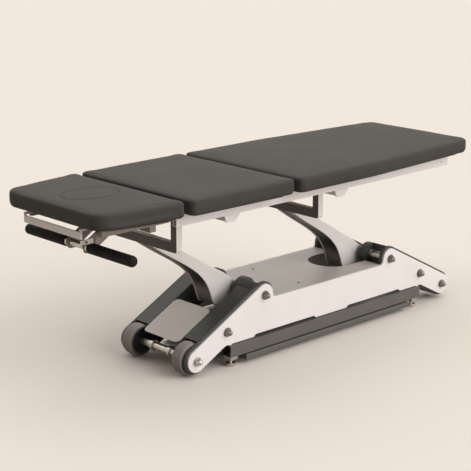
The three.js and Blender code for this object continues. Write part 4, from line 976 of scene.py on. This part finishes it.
cut = ARM_RIM * 0.3
lower_rim = [[CHANNEL, ON_MIDDLE], [CHANNEL, CHEEK], [ARM_RIM, CHEEK], [cut, CHEEK - cut]]
lower_rim += [[0, CHEEK - ARM_RIM], [0, ARM_RIM], [cut, cut], [ARM_RIM, 0]]
upper_rim = [[ARM_RIM * 3, 0], [ARM_RIM, ARM_RIM * 0.8], [0, ARM_RIM * 3], [0, ON_MIDDLE]]
SHELL_HALF = [[FROM_LOWER, 0, *place] for place in lower_rim]
SHELL_HALF += [[BETWEEN, share, 0, 0] for share in np.linspace(0.12, 0.88, 12)]
SHELL_HALF += [[FROM_UPPER, 0, *place] for place in upper_rim]
WEB_FRONT, WEB_BACK, WEB_INSET = CHANNEL - 1.6, CHANNEL + 3, CHEEK - 0.4
web_rim = [[WEB_FRONT, ON_MIDDLE], [WEB_FRONT, WEB_INSET], [WEB_BACK, WEB_INSET], [WEB_BACK, ON_MIDDLE]]
WEB_HALF = [[FROM_LOWER, 0, *place] for place in web_rim]

# %% [markdown]
# ## Yokes
# At its top each arm carries a yoke: a bar across and an upright tine at each side, which takes the pivot
# pin of the top frame. It is a U cut from thick plate. Its head-end face is dark like the web, so a thin
# dark U lies on the pale one. The head arm also has the short lever that the lift drive pushes.

# %% Arms with their yokes
YOKE_OUTER, YOKE_INNER, YOKE_DEPTH = 192.0, 162.0, 29.0
YOKE_LOW, YOKE_HIGH, PIVOT_Z = 494.5, 529.5, 620.0
YOKE_EYE, PIN_RADIUS = 16.0, 9.0
YOKE_ROUND, TINE_ROUND, YOKE_RIM = 9, 2, 1.4
EYE_WIDTH, EYE_EDGE, EYE_GAP = YOKE_OUTER - YOKE_INNER, 1, 0.5
FACE_DEPTH, FACE_INSET, FACE_RIM = 1.4, 0.2, 0.9
LEVER_DROP, LEVER_EYE, LEVER_HALF = 100.0, 17.0, 7.0
LEVER_ROUND, LEVER_TOP_HALF, LEVER_RIM = 7, 27, 1.0
LEVER_PIN_RADIUS, LEVER_PIN_REACH = 7, 16.5


def yoke_outline(inset):
    """The U in Y and Z, drawn in by an inset: one half, and its mirror."""
    outer, inner, top = YOKE_OUTER - inset, YOKE_INNER + inset, PIVOT_Z - inset
    right = [[outer, YOKE_LOW + inset, YOKE_ROUND], [outer, top, TINE_ROUND]]
    right += [[inner, top, TINE_ROUND], [inner, YOKE_HIGH - inset, YOKE_ROUND]]
    left = [[-y, z, r] for y, z, r in reversed(right)]
    return filleted(left[-1:] + right + left[:-1])


def eye_parts(x):
    """Two turned eyes round the pivot pins."""
    bore, edge = PIN_RADIUS + EYE_GAP, YOKE_EYE - EYE_EDGE
    profile = [[bore, 0], [edge, 0], [YOKE_EYE, EYE_EDGE], [YOKE_EYE, EYE_WIDTH - EYE_EDGE]]
    profile += [[edge, EYE_WIDTH], [bore, EYE_WIDTH]]
    return [revolved(profile, (x, start, PIVOT_Z), 40, ring=True) for start in (-YOKE_OUTER, YOKE_INNER)]


def lever_parts():
    """The drive's lever below the head hub, with its pin."""
    x, z = -HUB[0], HUB[1] - LEVER_DROP
    top = HUB[1] - HUB_SHAFT - LEVER_EYE
    low = [[x + side * LEVER_EYE, z - LEVER_EYE, LEVER_ROUND] for side in (-1, 1)]
    outline = filleted(low + [[x + side * LEVER_TOP_HALF, top, 0] for side in (1, -1)])
    reach, radius = LEVER_PIN_REACH, LEVER_PIN_RADIUS
    pin = revolved([[0, -reach], [radius, -reach], [radius, reach], [0, reach]], (x, 0, z), 32)
    return [sheet(outline, -LEVER_HALF, LEVER_HALF, LEVER_RIM), pin]


# The lower end of each arm's web is painted paler up to about 0.3 m: a painted reflection of the floor in
# the dark coat.
PAINTED_REFLECTION_BAND = (0.236, 0.305, "b5aea7")
web_colours = "25211e", "1f1c1a"
glossy_charcoal = paint_finish("charcoal_web_paint", "charcoal_paint", *web_colours, 0.6, 0.1, PAINTED_REFLECTION_BAND)
brown = paint_finish("brown_face_paint", "charcoal_paint", "4c433e", "443c37", 0.5)
for end_name, end in ENDS.items():
    hub_x = end * HUB[0]
    pivot_x = hub_x - RUN
    arm = carried(arm_loft(mirrored_section(SHELL_HALF), hub_x))
    back = (pivot_x - YOKE_DEPTH / 2 + FACE_DEPTH, pivot_x + YOKE_DEPTH / 2)
    yoke = sheet(yoke_outline(0), *back, YOKE_RIM, axes="yzx")
    parts = [arm, yoke, *eye_parts(pivot_x)]
    if end == HEAD:
        parts += lever_parts()
    body = f"{end_name}_arm_body"
    piece(f"{end_name}_arm_shell", *shells(*parts), grey, body, [f"{end_name}_arm"])
    web = carried(arm_loft(mirrored_section(WEB_HALF), hub_x))
    front = (pivot_x - YOKE_DEPTH / 2, pivot_x - YOKE_DEPTH / 2 + FACE_DEPTH * 2)
    piece(f"{end_name}_arm_web", *web, glossy_charcoal, body)
    plate(f"{end_name}_yoke_face", yoke_outline(FACE_INSET), *front, brown, body, rim=FACE_RIM, axes="yzx")
print("arm section", len(SHELL_HALF) * 2, "points at", STATIONS, "stations")

# %% [markdown]
# ## Cover, panel and frames
# The folded and welded pieces keep the CAD's shape and get eased edges. The panel at the head end is
# drawn anew, because its round corners face the viewer: a rounded rectangle laid on the beams' slope.

# %% Panel at the head end
PANEL_TOP_X, PANEL_BOTTOM_X, PANEL_HALF = -556.0, -728.0, 99.7
PANEL_CORNER, PANEL_DEPTH, PANEL_RIM = 20.0, 3.0, 0.9


def panel_parts():
    """A rounded rectangle along the slope and across the table. Its face lies a beam's half-width off the
    line from hub to bolt."""
    length = (PANEL_TOP_X - PANEL_BOTTOM_X) / math.cos(SLOPE)
    corners = [[0, -PANEL_HALF], [length, -PANEL_HALF], [length, PANEL_HALF], [0, PANEL_HALF]]
    outline = filleted([[a, b, PANEL_CORNER] for a, b in corners], steps=10)
    points, faces = carried(sheet_rows(outline, BEAM_HALF - PANEL_DEPTH, BEAM_HALF, PANEL_RIM))
    face_rise = BEAM_HALF * math.sin(SLOPE)
    start = (END_BOLT[0] + PANEL_TOP_X + face_rise) / math.cos(SLOPE)
    along_across = sloped(np.column_stack([start - points[:, 0], points[:, 2]]), HEAD)
    return np.column_stack([along_across[:, 0], points[:, 1], along_across[:, 1]]), faces


panel_paint = paint_finish("pale_panel_paint", "beige_paint", "dcd3ca", "d3cac1", 0.5)
piece("head_end_panel_cut", *panel_parts(), panel_paint, "base", ["head_end_panel"])

# %% Frames with eased edges
# The head end bar's paint is paler than the beige of its slot: partly the bar's own whiter coat, partly
# painted light for a face turned away from the lamps.
lightened_bar_paint = paint_finish("pale_bar_paint", "beige_paint", "efe7e0", "e6ddd6", 0.6)
# Painted shade: the head frame lies in the shade under the head cushion, and this darker brown-grey copy
# of the beige paint stands in for that shade.
shaded_frame_paint = paint_finish("brown_grey_painted_shade", "beige_paint", "978c83", "8a7f76", 0.5)
eased = {
    "base_cover": (beige, 0.6),
    "top_member_head": (white, 1.0),
    "top_member_foot": (white, 1.0),
    "head_frame": (shaded_frame_paint, 0.8),
    "head_end_bar": (lightened_bar_paint, 1.0),
    "release_lever": (zinc, 0.6),
    "middle_board": (plywood, 0.8),
    "leg_board": (plywood, 0.8),
    "head_board": (plywood, 0.8),
    "control_box": (plastic, 1.5),
}
for side_name in SIDES:
    eased[f"top_rail_{side_name}"] = (white, 0.9)
    eased[f"base_rail_{side_name}"] = (base_grey, 1.2)
    eased[f"cover_screw_{side_name}"] = (nickel, 0.3)
    for end_name in ENDS:
        eased[f"levelling_foot_{end_name}_{side_name}"] = (zinc, 1.0)
for node, (finish, width) in eased.items():
    polished(node, finish, width)
print(len(eased), "nodes have eased copies")

# %% [markdown]
# ## Foot switch bars
# Under each base rail hangs a sprung bar, which the foot presses to raise or lower the top. It is a
# folded strip with soft corners. Only a shadow's width shows between it and the rail, just as much as its
# upward travel needs.

# %% Switch bars
BAR_REACH, BAR_INNER, BAR_OUTER, BAR_LOW, BAR_HIGH = 478.0, 158.0, 213.0, 17.0, 37.4
BAR_ROUND, BAR_RIM = 3, 2.5
bar_box = [[-BAR_REACH, BAR_LOW], [BAR_REACH, BAR_LOW], [BAR_REACH, BAR_HIGH], [-BAR_REACH, BAR_HIGH]]
bar_outline = filleted([[x, z, BAR_ROUND] for x, z in bar_box])
for side_name, side in SIDES.items():
    name = f"foot_switch_bar_{side_name}"
    depth = sorted([side * BAR_INNER, side * BAR_OUTER])
    body = f"switch_bar_{side_name}"
    plate(name + "_folded", bar_outline, *depth, base_grey, body, [name], rim=BAR_RIM)
print("switch bars", BAR_REACH * 2, "mm long")

# %% [markdown]
# ## Handle and grips
# A tube across the head end carries two foam grips, which the user holds or moves the table by. Foam
# sleeves have a round closed end and a slightly rounded mouth, and two bright ring collars keep them from
# sliding inwards.

# %% Handle
HANDLE = (-1090.0, 545.0)
TUBE_RADIUS, TUBE_REACH = 12.0, 306.0
COLLAR_RADIUS, COLLAR_OUTER, COLLAR_LENGTH = 17.0, 63.7, 10.0
GRIP_RADIUS, GRIP_INNER, GRIP_OUTER, GRIP_ROUND, GRIP_MOUTH = 20.0, 64.0, 310.0, 15.0, 4.0


def grip_profile():
    """From the axis at the mouth, over a small arc, along the sleeve and over the large arc of the closed
    end."""
    angle = np.linspace(0, math.pi / 2, 9)
    mouth_radius = GRIP_RADIUS - GRIP_MOUTH * (1 - np.sin(angle))
    mouth = np.column_stack([mouth_radius, GRIP_INNER + GRIP_MOUTH * (1 - np.cos(angle))])
    end_radius = GRIP_RADIUS - GRIP_ROUND * (1 - np.cos(angle))
    end = np.column_stack([end_radius, GRIP_OUTER - GRIP_ROUND * (1 - np.sin(angle))])
    return np.concatenate([[[0, GRIP_INNER]], mouth, end, [[0, GRIP_OUTER]]])


tube_half = np.array([[0, TUBE_REACH], [TUBE_RADIUS, TUBE_REACH]], float)
collar = ring_steps(TUBE_RADIUS, COLLAR_RADIUS, COLLAR_OUTER, COLLAR_OUTER - COLLAR_LENGTH)
tube_half = np.concatenate([tube_half, collar])
tube_profile = np.concatenate([tube_half, tube_half[::-1] * [1, -1]])
handle_place = (HANDLE[0], 0, HANDLE[1])
turned("handle_tube_turned", tube_profile, handle_place, zinc, "head_section", ["handle_tube"])
for side_name, side in SIDES.items():
    name = f"handle_grip_{side_name}"
    sleeve = grip_profile() * [1, side]
    turned(name + "_foam", sleeve, handle_place, foam, "head_section", [name], around=56)
print("grip", grip_profile().shape)

# %% [markdown]
# ## Hidden pieces
# The drive, the gas spring and the cross tubes are seldom seen. Their CAD shape is right, so they stay as
# they are and only get the finish of their slot.

# %% Finishes for what stays
finishes = (white, grey, beige, charcoal, base_grey, zinc, nickel, plastic, foam, plywood)
by_slot = {finish.slot: finish for finish in finishes}
stays = ["cross_tube_head", "cross_tube_middle", "cross_tube_foot", "lift_drive_body", "lift_drive_rod"]
stays += ["gas_spring_cylinder", "gas_spring_rod", "tilt_hinge_pin"]
slot_of = {item["node"]: item["material_slot"] for item in frame["record"]["subparts"]}
for node in stays:
    for material_slot in nodes[node].material_slots:
        material_slot.material = by_slot[slot_of[node]].material
print("kept as CAD:", ", ".join(stays))

# %% [markdown]
# ## Cushions
# Each section is a board with foam glued on, covered in artificial leather that is pulled tight and
# stapled underneath. Foam bulges where the cover pulls it in, so the sides swell between a drawn-in lower
# edge and a soft upper one, and the top has a slight crown. The first form is a surface: an outline
# carried up through a side profile, closed by rings that shrink to the middle. That form starts a little
# small, and a cloth simulation with air pressure inside pushes the cover out. The underside is held,
# because it is stapled to its board.

# %% The first form of a cushion
TOP, CUSHION_BOTTOM = 722.0, 660.0
CROWN, SIDE_INSET = 2.5, 11.0
SIDE_SHARES = [0.8, 0.3, 0.0, 0.0, 0.08, 0.34, 1.0]
HEIGHT_SHARES = [0.0, 0.08, 0.25, 0.74, 0.9, 0.97, 1.0]
START_SMALLER = 2.0
SIDE_ROWS, AROUND, CAP_ROWS = 30, 420, 26


def spaced(loop, count):
    """Points at equal distances along a closed loop."""
    ring = np.concatenate([loop, loop[:1]])
    length = np.concatenate([[0], np.cumsum(np.linalg.norm(np.diff(ring, axis=0), axis=1))])
    want = np.linspace(0, length[-1], count, endpoint=False)
    return np.column_stack([np.interp(want, length, ring[:, k]) for k in (0, 1)])


def cushion_form(outline):
    """Rows: the underside from its middle out, the side profile upwards, and the top inwards. With u and
    v the place over the half length and half width, the top then rises by crown * (1 - u^4) * (1 -
    v^4)."""
    loop = spaced(single(outline), AROUND)
    out = outward(loop)
    middle = (loop.min(0) + loop.max(0)) / 2
    shoulder = TOP - START_SMALLER - CROWN
    profile = through(np.column_stack([SIDE_SHARES, HEIGHT_SHARES]), SIDE_ROWS)
    inset = START_SMALLER + profile[:, 0] * SIDE_INSET
    side = loop[None] - inset[:, None, None] * out[None]
    share = np.linspace(0, 1, CAP_ROWS)[:, None, None]
    under = middle + share[:-1] * (side[0] - middle)
    over = middle + share[-2::-1] * (side[-1] - middle)
    rows = np.concatenate([under, side, over])
    up = np.concatenate([np.zeros(CAP_ROWS - 1), profile[:, 1], np.ones(CAP_ROWS - 1)])[:, None]
    rise = np.clip(1 - ((rows - middle) / (loop.max(0) - middle)) ** 4, 0, 1).prod(-1)
    height = CUSHION_BOTTOM + up * (shoulder - CUSHION_BOTTOM) + CROWN * up**4 * rise
    points = np.concatenate([rows, height[..., None]], axis=-1)
    return points.reshape(-1, 3), quads(len(rows), AROUND).tolist()


# %% [markdown]
# ## The swell
# The form is remeshed to even squares, because cloth needs cells of one size. The cloth runs for twenty
# steps with pressure and without gravity, and no point may move further than a cap, since there is foam
# inside and not air. The result is a plain mesh. The simulation has no random part, so it comes out the
# same each time.

# %% The cloth step
CLOTH_STEPS, HELD_HEIGHT = 20, 3.0
COVER_CLOTH = {
    "quality": 5,
    "mass": 0.3,
    "tension_stiffness": 15,
    "compression_stiffness": 15,
    "shear_stiffness": 8,
    "bending_stiffness": 2,
    "use_pressure": True,
    "uniform_pressure_force": 4.0,
}


def baked(obj):
    """Puts the mesh that the modifiers make in place of the object's own, and removes them."""
    graph = bpy.context.evaluated_depsgraph_get()
    graph.update()
    made = bpy.data.meshes.new_from_object(obj.evaluated_get(graph))
    obj.modifiers.clear()
    obj.data = made
    return made


def coordinates(mesh):
    """The mesh's points as an array of rows."""
    flat = np.empty(len(mesh.vertices) * 3)
    mesh.vertices.foreach_get("co", flat)
    return flat.reshape(-1, 3)


def put(mesh, points):
    """Writes an array of rows back as the mesh's points."""
    mesh.vertices.foreach_set("co", np.asarray(points, float).ravel())
    mesh.update()


def swell(obj, cap):
    """Runs the cloth and moves each point by its result, shortened to the cap where it is longer."""
    start = coordinates(obj.data)
    held = obj.vertex_groups.new(name="held")
    low = start[:, 2] < start[:, 2].min() + HELD_HEIGHT * MM
    held.add(np.flatnonzero(low).tolist(), 1.0, "REPLACE")
    cloth = obj.modifiers.new("cover", "CLOTH")
    for key, value in COVER_CLOTH.items():
        setattr(cloth.settings, key, value)
    cloth.settings.vertex_group_mass = held.name
    cloth.settings.effector_weights.gravity = 0
    cloth.collision_settings.use_collision = False
    cloth.collision_settings.use_self_collision = False
    cloth.point_cache.frame_start, cloth.point_cache.frame_end = 1, CLOTH_STEPS
    scene = bpy.context.scene
    for step in range(1, CLOTH_STEPS + 1):
        scene.frame_set(step)
    moved = coordinates(baked(obj)) - start
    scene.frame_set(1)
    size = np.linalg.norm(moved, axis=1, keepdims=True)
    put(obj.data, start + moved * np.minimum(1, cap * MM / np.maximum(size, 1e-9)))
    obj.vertex_groups.clear()
    return float(size.max())


def fitted(mesh, outline):
    """Stretches the mesh along each axis, so that it fills the outline's box up to the table's top
    exactly."""
    points = coordinates(mesh)
    box = [[*np.min(outline, 0), CUSHION_BOTTOM], [*np.max(outline, 0), TOP]]
    low, high = to_frame(box)
    start, end = points.min(0), points.max(0)
    put(mesh, low + (points - start) * (high - low) / (end - start))


def cushion(name, outline, voxel, cap):
    """Form, remesh, swell, one subdivision and a last fit."""
    obj = drawn(name, *cushion_form(outline))
    remesh = obj.modifiers.new("even", "REMESH")
    remesh.mode, remesh.voxel_size = "VOXEL", voxel * MM
    baked(obj)
    smooth = obj.modifiers.new("calm", "SMOOTH")
    smooth.factor, smooth.iterations = 0.5, 2
    baked(obj)
    moved = 0.0
    moved = swell(obj, cap)
    finer = obj.modifiers.new("finer", "SUBSURF")
    finer.levels = finer.render_levels = 1
    fitted(baked(obj), outline)
    obj.data.polygons.foreach_set("use_smooth", np.ones(len(obj.data.polygons), bool))
    print(name, len(obj.data.polygons), "faces, cloth moved up to", round(moved * 1000, 1), "mm")
    return obj


# %% [markdown]
# ## Middle and leg section
# Their outlines are long rounded rectangles with hardly any waist. The leg section narrows to the foot
# end, where its corners are rounder.

# %% Middle and leg cushion
CORNER, CLOTH_CAP = 26.0, 3.0
MIDDLE_SPAN, LEG_SPAN = (-839.0, -335.0), (-313.0, 768.0)
MIDDLE_HALVES = 321, 328
LEG_START_HALF, LEG_WAIST_HALF, LEG_TIP_HALF, LEG_TIP_CORNER = 330, 328, 283, 62
LEG_WAIST_SHARE, WAIST_RADIUS = 0.4, 1800.0


def both_sides(half):
    """A half outline [x, half-width, radius], from head to foot, closed by its mirror."""
    near = [[x, -y, r] for x, y, r in half]
    return filleted(near + [[x, y, r] for x, y, r in reversed(half)], steps=14)


middle_outline = both_sides([[x, half, CORNER] for x, half in zip(MIDDLE_SPAN, MIDDLE_HALVES)])
leg_waist_x = LEG_SPAN[0] + LEG_WAIST_SHARE * (LEG_SPAN[1] - LEG_SPAN[0])
leg_half = [[LEG_SPAN[0], LEG_START_HALF, CORNER], [leg_waist_x, LEG_WAIST_HALF, WAIST_RADIUS]]
leg_outline = both_sides([*leg_half, [LEG_SPAN[1], LEG_TIP_HALF, LEG_TIP_CORNER]])
middle_pad = cushion("middle_section_pad", middle_outline, 6.0, CLOTH_CAP)
leg_pad = cushion("leg_section_pad", leg_outline, 8.0, CLOTH_CAP)
for pad, node in ((middle_pad, "middle_cushion"), (leg_pad, "leg_cushion")):
    settle(pad, leather, "top_frame", [node])

# %% [markdown]
# ## Head section and its plug
# An oval plug lifts out of the head cushion to leave room for the face. The two are upholstered
# separately but sit flush, so only a fine line shows. They are swelled as one cushion here, which keeps
# them flush. Then a shallow furrow is pressed along the oval, and a cutter parts them. The furrow is
# where the real covers roll under. A short tab of the same leather hangs below the plug.

# %% Head cushion and plug
HEAD_SPAN = (-1215.0, -861.0)
HEAD_TIP_HALF, HEAD_TIP_CORNER, HEAD_REAR_HALF = 268, 64, 321
HEAD_WAIST_HALF, HEAD_WAIST_RADIUS = 304, 900.0
OVAL_MIDDLE, OVAL_LENGTH, OVAL_WIDTH, OVAL_GAP = -1036.0, 224.0, 160.0, 1.2
FURROW_DEPTH, FURROW_WIDTH, FURROW_REACH, FURROW_BLEND = 1.6, 4.0, 20, 10
OVAL_POINTS, CUTTER_OVERRUN, CUTTER_RIM = 128, 30, 0.5

head_waist_x = sum(HEAD_SPAN) / 2
head_half = [[HEAD_SPAN[0], HEAD_TIP_HALF, HEAD_TIP_CORNER]]
head_half += [[head_waist_x, HEAD_WAIST_HALF, HEAD_WAIST_RADIUS], [HEAD_SPAN[1], HEAD_REAR_HALF, CORNER]]
head_pad = cushion("head_section_pad", both_sides(head_half), 5.0, CLOTH_CAP)


def press_furrow(mesh):
    """Lowers the top along the oval. With q the distance from the oval's middle in half-axes, the
    distance to the oval is about (q - 1) times the mean half-axis, and the depth falls off as a bell
    curve with it. Points more than FURROW_REACH below the top stay, and over FURROW_BLEND the press grows
    to its full depth."""
    points = coordinates(mesh)
    drawing = (points - BASE_MIDDLE) / MM
    across = np.hypot((drawing[:, 0] - OVAL_MIDDLE) / (OVAL_LENGTH / 2), drawing[:, 1] / (OVAL_WIDTH / 2))
    distance = (across - 1) * (OVAL_LENGTH + OVAL_WIDTH) / 4
    top = np.clip((drawing[:, 2] - TOP + FURROW_REACH) / FURROW_BLEND, 0, 1)
    points[:, 2] -= FURROW_DEPTH * MM * top * np.exp(-((distance / FURROW_WIDTH) ** 2))
    put(mesh, points)


def oval_cutter(name, inset):
    """An upright oval prism through the whole cushion."""
    angle = np.linspace(0, 2 * math.pi, OVAL_POINTS, endpoint=False)
    x = OVAL_MIDDLE + (OVAL_LENGTH / 2 - inset) * np.cos(angle)
    y = (OVAL_WIDTH / 2 - inset) * np.sin(angle)
    low, high = CUSHION_BOTTOM - CUTTER_OVERRUN, TOP + CUTTER_OVERRUN
    return drawn(name, *sheet(np.column_stack([x, y]), low, high, CUTTER_RIM, axes="xyz"))


def parted(obj, inset, operation):
    """Cuts the oval out of the cushion, or keeps only what lies in it."""
    cutter = oval_cutter(obj.name + "_cutter", inset)
    cut = obj.modifiers.new("part", "BOOLEAN")
    cut.operation, cut.solver, cut.object = operation, "EXACT", cutter
    baked(obj)
    bpy.data.objects.remove(cutter)
    clean(obj.data)


press_furrow(head_pad.data)
plug_pad = mesh_object("face_plug_pad", head_pad.data.copy())
parted(plug_pad, OVAL_GAP, "INTERSECT")
parted(head_pad, 0.0, "DIFFERENCE")
settle(head_pad, leather, "head_section", ["head_cushion"])
settle(plug_pad, leather, "plug", ["face_plug"])

STRAP_HALF_LENGTH, STRAP_HALF_WIDTH, STRAP_DROP, STRAP_TOP, STRAP_ROUND = 24.0, 12.0, 16.0, 2, 5
strap_corners = [[-STRAP_HALF_LENGTH, -STRAP_DROP], [STRAP_HALF_LENGTH, -STRAP_DROP]]
strap_corners += [[STRAP_HALF_LENGTH, STRAP_TOP], [-STRAP_HALF_LENGTH, STRAP_TOP]]
strap_outline = filleted([[a, CUSHION_BOTTOM + b, STRAP_ROUND] for a, b in strap_corners])
strap_span = (OVAL_MIDDLE - STRAP_HALF_WIDTH, OVAL_MIDDLE + STRAP_HALF_WIDTH)
plate("face_plug_tab", strap_outline, *strap_span, leather, "plug", rim=3.0, axes="yzx")
print("head pad", len(head_pad.data.polygons), "plug", len(plug_pad.data.polygons))

# %% [markdown]
# ## Floor and light
# The pale studio floor is large and nearly the colour of the sky behind it, so that the horizon hardly
# shows. Three soft lights fill the room. A wide lamp overhead and a little behind makes the shade that
# gathers round the base and runs towards the viewer, because the long top hides much of it from the
# floor. A second lamp from the near side lights the plates and the cushions' sides, and the dark end
# faces are turned away from both. An even sky fills the rest. The floor is seen in the backdrop's own
# colour, while it throws less light back than that.

# %% Floor
FLOOR_SIZE = 60.0
SEEN_FLOOR, BOUNCE_FLOOR = linear("f4ebe1"), linear("958c83")


def seen_directly(nodes):
    """1 for rays from the camera, a mirror or glass, and 0 for the rest: the three kinds added and held
    at 1."""
    seen = nodes.node("ShaderNodeLightPath", output="Is Camera Ray")
    kinds = seen.socket.node.outputs
    for kind in ("Is Glossy Ray", "Is Transmission Ray"):
        seen = seen + Value(nodes, kinds[kind])
    return nodes.node("ShaderNodeClamp", {}, {0: seen})


def floor_finish():
    """Matte paper. Eyes, mirrors and glass see its own colour; other rays see a shade that is darker."""
    finish = Finish("studio_floor", "floor", {"Roughness": 0.9, "Specular IOR Level": 0.05})
    colour = finish.mix(seen_directly(finish), BOUNCE_FLOOR, SEEN_FLOOR)
    finish.feed(finish.shader, {"Base Color": colour})
    return finish


floor_mesh = bpy.data.meshes.new("floor")
corners = np.array([[-1, -1], [1, -1], [1, 1], [-1, 1]]) * FLOOR_SIZE / 2
floor_mesh.from_pydata([[x, y, 0] for x, y in corners.tolist()], [], [[0, 1, 2, 3]])
floor = mesh_object("floor", floor_mesh)
floor_mesh.materials.append(floor_finish().material)
print("floor", FLOOR_SIZE, "m wide")

# %% Sky
SKY_COLOUR, SKY_LEVEL, SKY_SEEN = linear("f6ede4"), 0.2, 0.93

world = bpy.data.worlds.new("studio")
bpy.context.scene.world = world
world.use_nodes = True
sky = Nodes(world.node_tree)
strength = sky.node("ShaderNodeMapRange", {}, {0: seen_directly(sky), 3: SKY_LEVEL, 4: SKY_SEEN})
sky.feed(sky.tree.nodes["Background"], {"Color": SKY_COLOUR, "Strength": strength})
print("sky level", SKY_LEVEL)

# %% Lamps
LAMPS = {
    "overhead": ((0.14, 0.26, 0.95), 1.7, 105.0),
    "near_side": ((0.40, -0.87, 0.28), 2.8, 70.0),
}
for name, (towards, strength, width) in LAMPS.items():
    data = bpy.data.lights.new(name, "SUN")
    data.energy, data.angle = strength, math.radians(width)
    lamp = bpy.data.objects.new(name, data)
    bpy.context.scene.collection.objects.link(lamp)
    x, y, z = unit(np.array(towards))
    lamp.rotation_euler = (math.acos(z), 0, math.atan2(x, -y))
print("lamps", ", ".join(LAMPS))

# %% [markdown]
# ## Finish
# The view transform stays plain, so that a colour comes out as it is written.

# %% The view transform
bpy.context.scene.view_settings.view_transform = "Standard"
